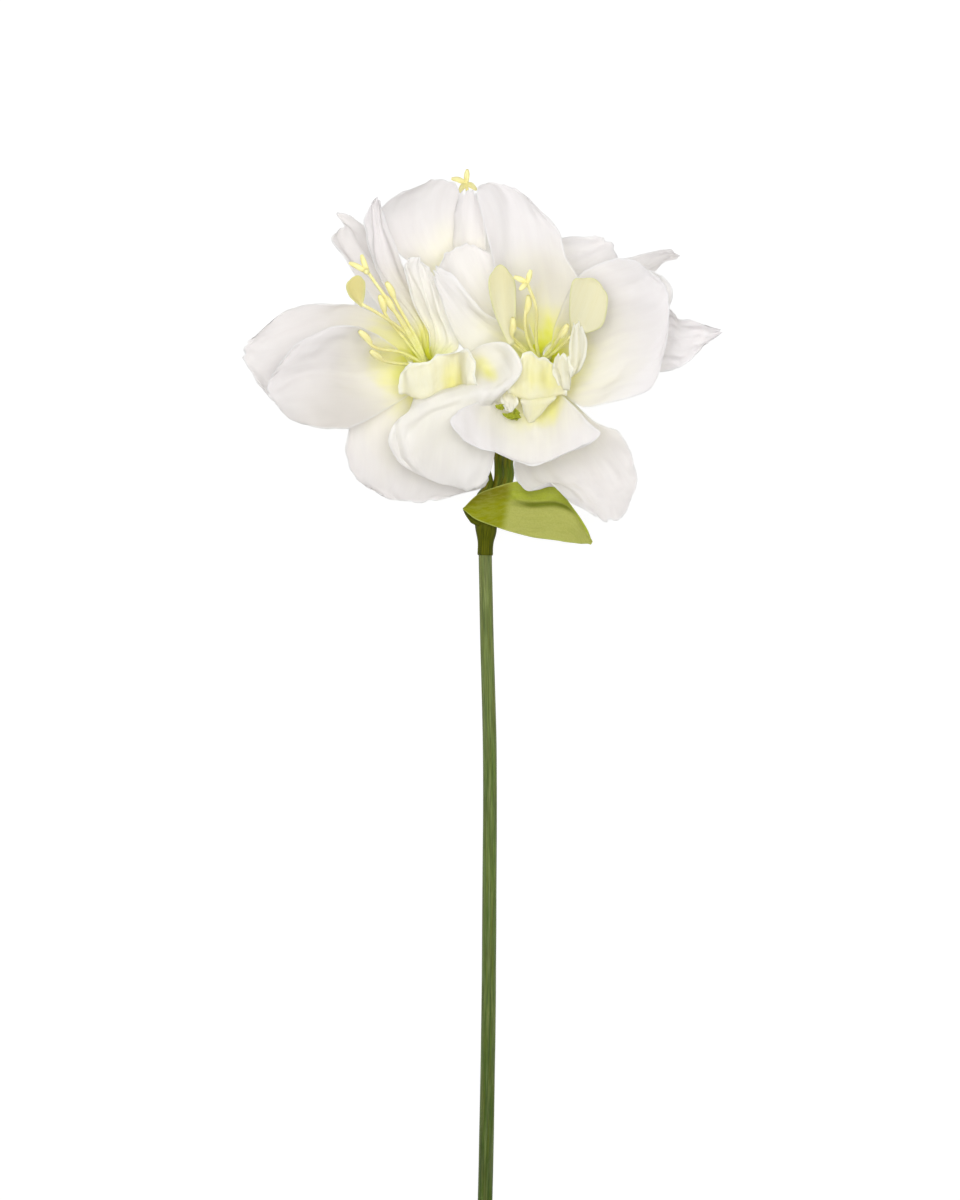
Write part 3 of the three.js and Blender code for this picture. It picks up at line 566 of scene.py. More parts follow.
def makeStemPlastic(name, look):
    material, tree, surface = newMaterial(name, look)
    grain, along = attribute(tree, "grain"), attribute(tree, "along")
    lower, upper = ranged(tree, along, (0.0, look["halfWay"])), ranged(tree, along, (look["halfWay"], 1.0))
    tint = blendColours(tree, lower, colour(*look["foot"]), colour(*look["middle"]))
    tint = blendColours(tree, upper, tint, colour(*look["top"]))
    for patch, around, amount in look["patches"]:
        shifted = scaledVector(tree, grain, (1.0, 1.0 + around, 1.0))  # so that no two kinds lie together
        stretch = {"Along": look["patchAlong"], "Around": around, "Amount": amount}
        tint = addMottle(tree, tint, look[patch], shifted, stretch)
    addStreaks(tree, surface, tint, grain, look)
    return material


collarPlastic = {
    "base": (72, 77, 2), "patch": (98, 100, 6), "dark": (42, 52, 2), "roughness": 0.6, "specular": 0.08,
    "mottle": {"Along": 0.09, "Around": 0.5, "Amount": 0.8}, "streaks": {"Along": 0.03, "Around": 0.8},
    "streakShare": 0.5, "dents": 0.9, "bump": 0.4, "bumpDepth": 0.0005,
}
stalkPlastic = {
    **collarPlastic, "base": (98, 114, 32), "patch": (126, 108, 20), "dark": (46, 68, 16), "roughness": 0.45,
}


def makeGreenPlastic(name, look):
    material, tree, surface = newMaterial(name, look)
    grain = attribute(tree, "grain")
    tint = addMottle(tree, colour(*look["base"]), look["patch"], grain, look["mottle"])
    addStreaks(tree, surface, tint, grain, look)
    return material


bractCloth = {  # a pair says where along or across the leaf a change starts and where it is done
    "left": (142, 146, 6), "brown": (120, 114, 8), "right": (180, 182, 96), "upper": (178, 188, 66),
    "brownFade": (-0.95, 0.1), "brownShare": 0.85, "upperFade": (-0.3, 0.0), "fold": (0.33, 0.39),
    "patch": (188, 190, 112), "mottle": {"Along": 0.3, "Around": 0.9, "Amount": 0.2},
    "dark": (106, 118, 10), "speckle": {"Along": 1.6, "Around": 2.2, "Amount": 0.16},
    "veins": {"Along": 0.06, "Around": 0.6}, "veinTint": 0.08,
    "ribWidth": (0.02, 0.2), "ribStart": (0.36, 0.5), "ribEnd": (0.68, 0.82), "ribShadeShare": 0.85,
    "rim": (196, 206, 112), "rimBreadth": 0.8, "rimHighlightAmount": 0.6, "threads": 2.2, "slub": 1.0,
    "roughness": 0.7, "specular": 0.12, "through": 0.12, "bump": 0.4, "bumpDepth": 0.0004,
}


def makeBractCloth(name, look):
    material, tree, surface = newMaterial(name, look)
    grain, along, across = attribute(tree, "grain"), attribute(tree, "along"), attribute(tree, "across")
    falling = (1.0, 0.0)
    brown = ranged(tree, across, look["brownFade"], (look["brownShare"], 0.0))
    leftTint = blendColours(tree, brown, colour(*look["left"]), colour(*look["brown"]))
    above = ranged(tree, across, look["upperFade"], falling)
    rightTint = blendColours(tree, above, colour(*look["right"]), colour(*look["upper"]))
    tint = blendColours(tree, ranged(tree, along, look["fold"]), leftTint, rightTint)
    tint = addMottle(tree, tint, look["patch"], grain, look["mottle"])
    tint = addMottle(tree, tint, look["dark"], grain, look["speckle"])
    lines = useGroup(tree, veins, Grain=grain, **look["veins"])
    tint = addShade(tree, tint, lines, look["veinTint"], look["dark"])
    # a dark line along the midrib fold: painted shade in the fold
    rib = ranged(tree, sums(tree, "ABSOLUTE", across), look["ribWidth"], falling)
    rib = sums(tree, "MULTIPLY", rib, ranged(tree, along, look["ribStart"]))
    rib = sums(tree, "MULTIPLY", rib, ranged(tree, along, look["ribEnd"], falling))
    tint = addShade(tree, tint, rib, look["ribShadeShare"], look["dark"])
    tint = addRim(tree, tint, look)
    tree.links.new(tint, surface.inputs["Base Color"])
    weave = useGroup(tree, clothGrain, Grain=grain, Threads=look["threads"], Slub=look["slub"])
    bumped(tree, surface, sums(tree, "SUBTRACT", weave, lines), look)
    letLightThrough(tree, surface, tint, look["through"])
    return material


finishes = {
    "petal": makeCloth("petalCloth", petalCloth),
    "frill": makeCloth("frillCloth", frillCloth),
    "paddle": makeCloth("paddleCloth", paddleCloth),
    "shadeScrap": makeCloth("shadeScrapCloth", shadeScrapCloth),
    "stamen": makeStamenWax("stamenWax", stamenWax),
    "stem": makeStemPlastic("stemPlastic", stemPlastic),
    "collar": makeGreenPlastic("collarPlastic", collarPlastic),
    "stalk": makeGreenPlastic("stalkPlastic", stalkPlastic),
    "bract": makeBractCloth("bractCloth", bractCloth),
}
print("finishes made")

stem = {
    "path": [
        (-1.7, -351, 0), (-0.4, -297, 0), (0.6, -240, 0), (1.1, -180, 0), (1.3, -117, 0), (0, -63, 0),
        (-0.8, -25.2, 0),
    ],
    "cut": 3.4, "top": 2.95, "spigot": 9, "spigotRadius": 2.3, "sunk": 1.6, "cutRound": 0.06,
    "cutShare": 0.004, "grooves": 7, "grooveDepth": 0.035, "twist": 1.5, "wear": 0.012, "wearLumps": 26,
}


def stemRadius(s):
    return stem["cut"] + (stem["top"] - stem["cut"]) * s


def plainStem():  # the stem without its grooves, to find where the solids lie
    rod = rodParts(stem["path"], stemRadius, sides=48, steps=60)
    top = point(stem["path"][-1])
    pin = rodParts([top, top + [0, stem["spigot"], 0]], lambda s: stem["spigotRadius"], sides=48, steps=2)
    return np.concatenate([rod["spots"], pin["spots"]])


stemSpots = plainStem() @ np.array(leanTurn.to_3x3()).T * pose["millimetre"]
boxLow, boxHigh = (np.array(corner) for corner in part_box("stem"))
shift = (boxLow + boxHigh) / 2 - (stemSpots.min(0) + stemSpots.max(0)) / 2
laidDown = Matrix.Translation(Vector(shift)) @ leanTurn


def makeStem():
    def fluting(s, angle):
        lines = np.abs(np.sin(stem["grooves"] / 2 * angle + stem["twist"] * s)) ** 0.5 - 0.8
        return stem["grooveDepth"] * lines + stem["wear"] * softNoise(s * stem["wearLumps"], angle, seed=2)

    def radius(s):
        rounding = stem["cutRound"] * smoothStep(0, stem["cutShare"], s)
        return stemRadius(s) * (1 - stem["cutRound"] + rounding)

    top = point(stem["path"][-1]) + [0, stem["sunk"], 0]
    rod = rodParts([*stem["path"], top], radius, sides=56, steps=240, flute=fluting)
    makePiece("green_stem", rod, finishes["stem"], ["stem"])


collar = {
    "hem": -24.8, "top": -1.5, "hemRadius": 3.5, "topRadius": 5.2, "widens": (0.2, 0.9), "middle": -0.4,
    "hemRise": 6, "hemRound": 0.04, "hemShare": 0.03,
    "grooves": 9, "grooveDepth": 0.03, "grooveFrom": (0.1, 0.5), "wear": 0.03, "wearLumps": (5, 1.5),
}


def makeCollar():
    def radius(s):
        widening = smoothStep(*collar["widens"], s) * (collar["topRadius"] - collar["hemRadius"])
        ends = 1 - collar["hemRound"] + collar["hemRound"] * smoothStep(0, collar["hemShare"], s)
        return (collar["hemRadius"] + widening) * ends

    def fluting(s, angle):
        grooves = collar["grooveDepth"] * np.sin(collar["grooves"] * angle)
        grooves = grooves * smoothStep(*collar["grooveFrom"], s)
        along, around = collar["wearLumps"]
        return grooves + collar["wear"] * softNoise(s * along, angle * around, seed=4)

    low, high, x = collar["hem"], collar["top"], collar["middle"]
    path = [(x * 2, low, 0), (x * 1.5, low + collar["hemRise"], 0), (x, (low + high) / 2, 0), (x, high, 0)]
    rod = rodParts(path, radius, sides=48, steps=60, flute=fluting)
    makePiece("stem_collar", rod, finishes["collar"], ["collar"])


stalk = {
    "radius": 2.3, "ovary": 4.2, "swells": (0.62, 0.9), "closing": 0.25, "spread": 2.9, "gap": 0.3,
    "rise": 3, "cupDepth": 7, "straightEnd": 6,
    "ridges": 3, "ridgeDepth": 0.05, "ridgeTurn": 0.6, "wear": 0.05, "wearLumps": (9, 1.3),
}


def makeStalk(side, bloom):
    axis = unit(point(bloom["axis"]))
    end = point(bloom["centre"]) - axis * (stalk["cupDepth"] + stalk["gap"])
    turn = math.radians(bloom["foot"])
    foot = np.array([math.cos(turn), 0, math.sin(turn)]) * stalk["spread"]
    foot[1] = collar["top"] + stalk["gap"]
    middle = [point(p) for p in bloom["stalk"]]
    path = [foot, foot + [0, stalk["rise"], 0], *middle, end - axis * stalk["straightEnd"], end]

    def radius(s):
        start, full = stalk["swells"]
        swell = smoothStep(start, full, s) * (1 - stalk["closing"] * smoothStep(full, 1, s))
        return stalk["radius"] + (stalk["ovary"] - stalk["radius"]) * swell

    def fluting(s, angle):
        ridges = stalk["ridgeDepth"] * np.sin(stalk["ridges"] * angle + stalk["ridgeTurn"])
        along, around = stalk["wearLumps"]
        return ridges + stalk["wear"] * softNoise(s * along, angle * around, seed=6)

    rod = rodParts(path, radius, sides=32, steps=60, flute=fluting)
    makePiece(side + "_stalk", rod, finishes["stalk"], ["stalk_" + side])


# Each sheet of a bloom has a net of points and whatever its look has that differs from these. A length
# is in millimetres, a crease is (depth, breadth, line), and a spot is (x, y, breadth, amount): a spot of
# cream tint and painted warm shade, or of painted light (painted shade where the amount is negative).
petalLook = {
    "rows": 66, "columns": 40, "seed": 1, "thickness": 0.5, "round": 0.35, "tip": 0.2, "nick": 0.04,
    "nicks": 9, "waves": 2.2, "ruffle": 1.0, "frill": 1.0, "soft": 1.2, "crumple": 0.1, "from": 0.4,
    "pleat": 0.0, "pleats": 3, "rib": 0.0, "vein": 0.05, "curl": 0.3, "lip": 2.5, "tint": 1.0, "paintedLight": 0.0,
    "creamAndShadeSpots": [], "paintedLightSpots": [], "creases": [],
}
frillLook = {
    **petalLook, "rows": 48, "columns": 72, "round": 0.25, "tip": 0.25, "nick": 0.1, "nicks": 8,
    "waves": 0.6, "ruffle": 0.3, "frill": 1.1, "soft": 0.6, "crumple": 0.3, "from": 0.25, "curl": 0.7,
    "lip": 1.8,
}
paddleLook = {
    **petalLook, "rows": 24, "columns": 18, "nick": 0.0, "ruffle": 0.0, "frill": 0.2, "soft": 0.15,
    "vein": 0.06,
}
shadeScrapLook = {  # dark green scraps just in front of a petal, painted shade for the dark gaps between two petals
    **petalLook, "rows": 20, "columns": 16, "nick": 0.1, "crumple": 0.3, "tint": 0.05,
}
throat = {"sunk": 3, "ring": 4.2, "footWidth": 3.2, "neck": 6, "neckRing": 6.2, "neckWidth": 7}

leftPetals = {
    "farLeft": {
        "paintedLight": -0.2, "frill": 1.3, "crumple": 0.7, "from": 0.7, "nick": 0.035,
        "creamAndShadeSpots": [(-46, 78, 14, 0.3)],
        "net": [
            [(-35, 62, 9), (-38, 69, 6), (-39, 77, 10)],
            [(-56, 58, 17), (-59, 73, 12), (-57, 87, 17)],
            [(-70, 56, 19), (-72, 73, 14), (-70, 88.8, 19)],
            [(-84, 51, 19), (-87, 70, 14), (-83, 87.8, 18)],
            [(-97, 43, 18), (-101, 65, 13), (-98.5, 81, 15)],
            [(-102.5, 47, 17), (-110.8, 64.5, 12), (-107.5, 74.5, 12)],
        ],
    },
    "nearLeft": {
        "frill": 0.9, "rib": -0.1, "nick": 0.03, "paintedLight": -0.1,
        "creamAndShadeSpots": [(-48, 66, 12, 0.26), (-44, 54, 10, 0.1)], "paintedLightSpots": [(-68, 36, 20, -0.7)],
        "creases": [
            (0.8, 1.5, [(-97, 47), (-91, 52), (-85, 55.5), (-77, 57.5), (-65, 57), (-45, 50)]),
            (-0.7, 2.2, [(-94, 58), (-85, 63.5), (-74, 68)]),
            (-0.5, 2.5, [(-88, 45), (-78, 42), (-66, 43)]),
        ],
        "net": [
            [(-34, 48, 15), (-36, 52, 12), (-38, 57, 10.5), (-39, 62, 11.5), (-39, 67, 15)],
            [(-57, 33.5, 30), (-59, 44, 28.5), (-62, 56, 24), (-60, 68, 27), (-56, 77.5, 33)],
            [(-70, 31, 35.5), (-72, 44, 34), (-73, 57, 30.5), (-70, 69, 34), (-66, 78, 39)],
            [(-81, 32.8, 37), (-84, 45, 36), (-85, 55.5, 33), (-82, 65, 36), (-77, 74, 39)],
            [(-91, 36.2, 35.5), (-93, 46, 35), (-94, 52.5, 33), (-91, 60, 34.5), (-87, 68.5, 36)],
            [(-97.5, 41.2, 33), (-99, 46, 33), (-99, 50, 32.5), (-98, 54, 33), (-96.5, 59, 34)],
        ],
    },
    "low": {
        "frill": 0.8, "paintedLight": -0.25,
        "net": [
            [(-20, 47, 13), (-28, 44, 9), (-36, 47, 14)],
            [(-13, 32, 16), (-34, 30, 13), (-58.5, 41, 22)],
            [(-2, 20, 14), (-34, 18, 12), (-64, 28, 20)],
            [(1.5, 10, 12), (-34, 9, 10.5), (-62, 13, 16.5)],
            [(-1.5, 4.2, 10.5), (-36, 3, 9), (-54.5, 5.5, 13.5)],
            [(-9, -0.4, 10), (-34, -1.8, 7.5), (-49, 0, 11)],
        ],
    },
    "draped": {
        "rows": 96, "columns": 84, "paintedLight": 0.5, "ruffle": 0.3, "frill": 0.4, "nick": 0.015, "curl": 0.8,
        "creamAndShadeSpots": [(0.5, 57, 4.5, 0.5), (-2, 61.5, 4, 0.35), (2.5, 54, 4, 0.35), (-14, 47, 8, 0.1)],
        "paintedLightSpots": [(-34, 20, 16, -0.2), (-37, 28, 5, 0.5)],
        "creases": [
            (1.5, 1.1, [(-40.8, 37), (-41, 29), (-38.5, 19), (-32, 11.5)]),
            (-1.1, 1.2, [(-37.8, 33), (-37.3, 27), (-35.8, 19), (-29, 11.5)]),
            (-0.9, 1.8, [(-36, 34), (-26, 41.3), (-14, 45), (-4, 47.5), (5, 48)]),
            (0.8, 1.3, [(-35, 30), (-23.4, 38.8), (-14, 41.6), (-4, 42.5), (5, 43)]),
        ],
        "net": [
            [(-31, 51, 14), (-27, 49, 12), (-21, 49, 11), (-16, 52, 11), (-14, 58, 13)],
            [(-33, 47, 22), (-25, 48, 22), (-15, 51, 19), (-9, 57, 19), (-8, 66, 23)],
            [(-34, 44, 30), (-24, 47, 31), (-10, 53, 26.5), (-3, 60, 26.5), (0, 70, 31)],
            [(-36, 40, 34), (-25, 45.5, 37), (-7, 52, 34), (4, 59.5, 31.5), (10, 69.5, 35.5)],
            [(-41, 35, 35), (-28, 38, 37), (-6, 49, 38.5), (6, 52.5, 36.5), (16, 59, 38)],
            [(-44, 28, 34), (-29, 30, 33), (-9, 42, 38), (1, 45.5, 37), (10.5, 49.5, 38)],
            [(-43, 22, 32), (-28.5, 22, 29.5), (-11, 31, 31), (-1, 35, 28), (4.5, 41, 28)],
            [(-38, 15, 29), (-26, 14, 26), (-12, 20, 28), (-1, 23, 26), (4.5, 26, 25)],
            [(-30, 10.5, 26), (-21, 8, 23), (-12, 10, 24), (-1, 12, 23), (3.5, 15, 22)],
            [(-24, 8, 24), (-17, 5, 21), (-10, 3.5, 20), (-4, 4, 19.5), (1.5, 8, 20)],
        ],
    },
    "folded": {
        "paintedLight": -0.25, "pleat": 0.7, "pleats": 2.4, "crumple": 0.25, "from": 0.5, "nick": 0.01,
        "round": 0.0,
        "net": [
            [(-38, 74, 9), (-36.5, 77, 6.5), (-35, 80, 4), (-32.5, 82, 5), (-30, 84, 6)],
            [(-54.5, 95, 10), (-50, 98, 5.5), (-46.5, 100, 2), (-42, 102, 3), (-38, 103, 4)],
            [(-64, 107, 10), (-61, 109.5, 5), (-57, 112.5, 0), (-52, 115, 0), (-46, 118, 0)],
            [(-68.8, 116, 7), (-66, 118.5, 2), (-62.5, 121.5, -1), (-61, 124, -3), (-55, 124, -4)],
            [(-69, 120, 6), (-66.8, 122.5, 2), (-64.6, 124, -2), (-68, 130.4, -3), (-61, 127.7, -5)],
        ],
    },
    "upper": {
        "pleat": 0.7, "curl": 0.8,
        "net": [
            [(-34, 78, 12), (-30, 80, 8), (-25, 80, 10)],
            [(-52, 104, 17), (-45, 104, 10), (-36, 102, 17)],
            [(-55, 121, 16), (-49, 121, 10), (-43, 118, 15)],
            [(-54, 130, 12), (-50, 132, 9), (-46, 128, 11)],
            [(-52, 134, 10), (-49.5, 137, 8), (-48, 132, 9)],
        ],
    },
    "upperRight": {
        "columns": 72, "paintedLight": 0.5, "curl": 0.7, "frill": 0.6, "pleat": 0.25, "pleats": 6,
        "paintedLightSpots": [(-15, 76, 8, 0.5)],
        "net": [
            [(-27, 76, 11.6), (-25, 75, 10.6), (-23, 74, 12), (-20, 73, 11), (-17, 71.5, 12.6),
             (-14.5, 70, 11.8), (-12.5, 68, 13.6)],
            [(-35, 92, 17.4), (-31.5, 91, 16), (-28, 89, 17.8), (-25, 87, 16.2), (-21.5, 84.5, 18.2),
             (-18, 81.5, 16.8), (-14.5, 78, 18.6)],
            [(-38.5, 104, 19.2), (-35, 103, 18), (-32, 101, 20.2), (-28.5, 99, 18.8), (-25, 97, 20.4),
             (-22, 94.5, 19), (-19, 91.5, 19.8)],
            [(-38, 112, 19), (-35.5, 111.5, 17), (-33, 110, 19), (-30.5, 108.5, 17.5), (-28, 107, 19.5),
             (-26, 105, 18), (-24, 103, 19)],
        ],
    },
}
leftFrills = {
    "lobes": {
        "columns": 130, "rows": 44, "nick": 0.05, "creamAndShadeSpots": [(-13, 52, 8, 0.32), (-15, 60, 9, 0.15)],
        "paintedLightSpots": [(-32, 54, 9, 0.5), (-6.5, 54, 3, 0.9), (-6, 60, 3.4, 1), (-4, 66, 3.4, 0.9)],
        "net": [
            [(-33, 53, 13), (-31, 50, 12), (-28, 48.5, 12), (-25, 48, 12), (-22, 48.5, 12),
             (-19, 49.5, 11.5), (-16.5, 51, 12), (-14, 53, 13), (-12, 55.5, 15)],
            [(-38.8, 48, 25), (-35, 46, 28.5), (-30, 45, 29.5), (-25, 46, 28.5), (-20.5, 47.5, 25),
             (-16, 48.5, 22), (-11.8, 49, 24), (-8.6, 50.5, 33), (-4, 51.3, 35.5)],
            [(-39.2, 52.5, 28.5), (-35, 51.5, 32.3), (-30, 51, 32), (-25, 52, 31.5), (-20.5, 54, 28.5),
             (-16, 55.5, 26.5), (-12.6, 56, 28), (-9.4, 56.5, 35.5), (-4.8, 56.5, 37.5)],
            [(-38.7, 57.5, 29.5), (-35, 58, 33.5), (-30, 58, 33), (-25.5, 59, 32.5), (-21, 61.5, 31.5),
             (-16.5, 63.5, 31), (-12.4, 64.4, 32), (-8.6, 62.5, 37), (-3, 62, 38.8)],
            [(-37.5, 60.5, 28.5), (-34.5, 62.6, 32), (-30, 62.3, 31.7), (-26, 62.3, 32), (-22, 65.8, 33),
             (-17, 66.7, 35), (-12, 67.8, 35), (-6.5, 68.4, 37.5), (-0.5, 67, 39)],
        ],
    },
}
leftBloom = {
    "centre": (-25, 58, 2), "axis": (-0.4, 0.42, 0.8), "foot": 150,
    "stalk": [(0.6, 8, 0), (-5, 24, -4), (-14, 42, -8)],
    "petals": leftPetals, "frills": leftFrills,
    "style": [(-33, 72, 20), (-43, 87, 35), (-53, 101, 45)],
    "lobes": [(-56, 109, 47), (-61.5, 105.5, 46), (-54, 101, 51)],
    "stamens": [
        [(-31, 71, 18), (-40, 87, 32), (-45, 97, 38)],
        [(-36, 71, 19), (-45, 82, 32), (-48, 91, 39)],
        [(-33, 70, 19), (-40, 82, 31), (-46, 91, 37)],
        [(-38, 66, 20), (-50, 68, 36), (-57, 75, 43)],
        [(-38, 61, 20), (-46, 62, 33), (-52, 66, 41)],
    ],
    "paddles": [
        {
            "paintedLight": 0.0, "thread": [(-36, 74, 22), (-47, 82, 38), (-56, 87, 46)],
            "net": [
                [(-57, 86.5, 47), (-56.4, 86, 46.5), (-55.8, 85.5, 46)],
                [(-61.2, 90, 47), (-58, 90, 45.5), (-54.6, 90.2, 46)],
                [(-63, 94.5, 47), (-58.8, 95, 45.5), (-54.2, 94.8, 46)],
                [(-61.6, 98.6, 46), (-58, 99.8, 45), (-54.8, 99.2, 45)],
            ],
        },
    ],
}
rightPetals = {
    "upper": {
        "nick": 0.03, "round": 0.15, "creamAndShadeSpots": [(25, 73, 14, 0.2), (22, 100, 14, 0.25)],
        "paintedLightSpots": [(26, 100, 12, -0.45)],
        "net": [
            [(13, 76, 12), (17, 78, 9), (21, 79, 8), (27, 78, 8), (33, 75, 9)],
            [(5, 98, 22), (11, 99, 16.5), (19, 99, 14), (30, 99, 15.5), (42.5, 95, 18)],
            [(1, 113, 22.5), (8, 114, 17.5), (17, 114, 15.5), (26, 112, 16.5), (36, 109, 19)],
            [(-3, 127, 20), (6, 128, 16.5), (15, 127, 15), (24, 124, 15.5), (33, 119.8, 17)],
            [(-5.5, 137, 17), (2, 139, 14.5), (10, 138, 13), (18, 134, 13), (26, 128.6, 14)],
            [(-6.5, 141, 15), (-1, 142.2, 13), (4, 142.6, 12), (11, 141, 12), (19.5, 137, 12)],
        ],
    },
    "right": {
        "frill": 0.5, "nick": 0.02, "paintedLightSpots": [(48, 62, 9, 0.35)],
        "creases": [
            (0.9, 1.6, [(75, 103.5), (70, 99), (63, 95.5), (57, 92)]),
            (0.7, 2, [(64, 63), (57, 54), (50, 49)]),
        ],
        "net": [
            [(31, 80, 12), (35, 74, 9), (37, 67, 7), (35.5, 58, 8), (32.5, 49.5, 12)],
            [(40, 99.5, 29), (46, 86, 21), (51, 70, 16), (48.5, 55, 18), (41.5, 42.2, 26)],
            [(51, 105.5, 34), (56, 91, 26), (60, 74, 21), (58, 57, 24), (53, 42.6, 31)],
            [(60, 108.3, 36.5), (66, 94, 30), (70, 77, 26), (68, 60, 28), (65, 44.9, 33)],
            [(69, 107, 36.5), (74, 95, 32.5), (77, 80, 30), (76, 66, 31), (75.5, 50.5, 33.5)],
            [(77.5, 105.3, 34), (80.5, 97.5, 33), (82, 87.5, 32.5), (81.8, 76, 32.5), (82, 60.8, 33)],
        ],
    },
    "behindRight": {
        "paintedLight": 0.7, "nick": 0.0, "frill": 0.3,
        "net": [
            [(34, 76, 7), (37, 72, 4), (38, 66, 6)],
            [(54, 94, 16), (58, 82, 10), (60, 70, 14)],
            [(70, 103, 20), (73, 91, 16), (75, 78, 18)],
            [(77.5, 105.5, 20), (83.4, 94, 18), (82.2, 82, 19)],
        ],
    },
    "farRight": {
        "crumple": 1.2, "frill": 1.2,
        "net": [
            [(36, 68, 3), (38, 62, 1), (38, 56, 3)],
            [(58, 82, 3), (60, 69, -1), (60, 56, 4)],
            [(80, 87, 7), (80, 73, 2), (82, 57.6, 7)],
            [(87, 82.4, 7), (89, 72, 3), (88, 59.8, 7)],
            [(96, 81, 6), (97.5, 73.5, 3.5), (94.5, 64.4, 6)],
            [(105.4, 78.8, 5), (107, 75.6, 4.5), (103.6, 72.4, 5)],
        ],
    },
    "nearLow": {
        "columns": 56, "round": 0.12, "curl": 0.5, "frill": 0.5, "nick": 0.015,
        "creamAndShadeSpots": [(28, 39, 9, 0.42), (25, 36.5, 4, 0.25), (12, 35, 10, 0.25), (-1, 39, 6, 0.2),
         (20, 24, 14, 0.12)],
        "creases": [
            (-0.9, 2.2, [(20, 44), (21, 36), (22, 28)]),
            (0.9, 1.4, [(32, 46), (26, 39), (22, 34)]),
        ],
        "net": [
            [(33, 48, 24), (29, 45.5, 23), (24, 44.5, 21.5), (20, 44, 21), (15, 44.5, 21), (11, 45, 22),
             (8, 48, 24)],
            [(39.6, 41.4, 33.5), (32.6, 38, 30), (26, 35, 28), (19, 34.5, 27), (11, 35.5, 29),
             (3, 38, 33), (-6, 43, 39)],
            [(46.2, 34, 40), (37.5, 28, 37), (28, 26, 35), (19, 25, 34), (10, 26.5, 35), (-1, 30, 38),
             (-13.5, 39.5, 42.5)],
            [(50.4, 29.4, 42.5), (40, 22.8, 39.5), (29, 19, 38), (19, 17.5, 37.5), (9, 20, 38),
             (-3, 24.5, 39.5), (-17, 34.5, 42.5)],
            [(45.5, 24, 42), (38, 20.6, 40), (28, 17, 39), (20, 15, 39), (9, 19, 39.5),
             (-3.5, 22.4, 40.5), (-14.8, 27.6, 41.5)],
        ],
    },
    "fold": {
        "columns": 36, "rows": 40, "ruffle": 0.0, "frill": 0.3, "nick": 0.0, "curl": 0.5, "tint": 0.7,
        "net": [
            [(17, 52, 16), (21, 51, 15), (26, 51, 16)],
            [(15, 45, 30.5), (21, 45, 31), (31, 46.3, 32.5)],
            [(15.8, 41.5, 31), (20.5, 41, 32), (27, 41.5, 32.5)],
            [(16.2, 38, 30), (19.8, 37.4, 30.8), (24, 37.6, 30.6)],
            [(17, 35, 28.8), (19.2, 34.2, 29), (21.8, 34.8, 28.8)],
        ],
    },
    "tuck": {
        "tint": 0.75, "columns": 36, "rows": 40, "ruffle": 0.0, "frill": 0.8, "crumple": 0.2, "curl": 0.6,
        "net": [
            [(14, 52, 16), (12, 52, 15), (10, 51, 16)],
            [(13.5, 46, 30), (9.5, 46.5, 32), (6, 45.2, 32.8)],
            [(13.6, 43, 32.8), (10.2, 43.2, 34.8), (7, 42.2, 34.6)],
            [(12.6, 39.6, 33), (10, 38.9, 34.2), (7.2, 39.4, 34.4)],
        ],
    },
    "farLow": {
        "paintedLight": -0.25, "crumple": 0.6, "frill": 0.9, "nick": 0.025, "round": 0.15,
        "net": [
            [(35, 48, 7), (31, 45.5, 5), (27, 44, 4), (23, 44.3, 5.5), (19, 45, 8)],
            [(48, 36, 15), (42, 31, 11), (34, 27, 9), (24, 24, 11), (13, 24, 15)],
            [(59.4, 31, 18), (50, 21, 13.5), (41, 16, 12), (28, 13, 13.5), (12, 12, 17)],
            [(65, 21, 18), (55, 13, 14), (46, 9, 12.5), (33, 8.5, 14), (17, 4.2, 17)],
            [(67.4, 12, 18), (59, 6, 14), (50, 4, 13), (40, 5, 14.5), (28, 5.8, 17)],
            [(67.4, 3.5, 17), (61, 0, 14), (54, -1.8, 13), (47, -1.6, 14.5), (38, -1.8, 16)],
            [(64, -5.5, 15.5), (60.5, -9.5, 14), (57, -11, 13.5), (53.5, -10.6, 14), (49.6, -6, 15)],
        ],
    },
    "band": {
        "curl": 0.6, "paintedLight": 0.35, "creamAndShadeSpots": [(-2, 78, 9, 0.2)], "paintedLightSpots": [(-4, 72, 8, 0.4)],
        "net": [
            [(17, 75, 14), (12, 70, 10), (10, 65, 11)],
            [(0, 84, 25), (-1, 76, 18), (-8, 66, 15)],
            [(-14, 99, 30), (-14, 90, 25), (-17, 79, 24)],
            [(-25, 110, 27), (-25, 104, 25), (-26, 97, 26)],
        ],
    },
    "upperLeft": {
        "curl": 0.5, "paintedLight": 0.3, "columns": 48,
        "net": [
            [(7, 73, 8), (11, 77, 8), (15, 80, 8), (18, 82, 9)],
            [(-11, 84, 14), (-5, 90, 12), (1, 95, 12), (6, 98, 14)],
            [(-22, 101, 19), (-14, 105, 14.5), (-5, 108.5, 13.5), (4, 109, 13)],
            [(-25, 110, 19.5), (-17, 114, 15.5), (-8, 116, 14), (2, 114, 12)],
        ],
    },
}
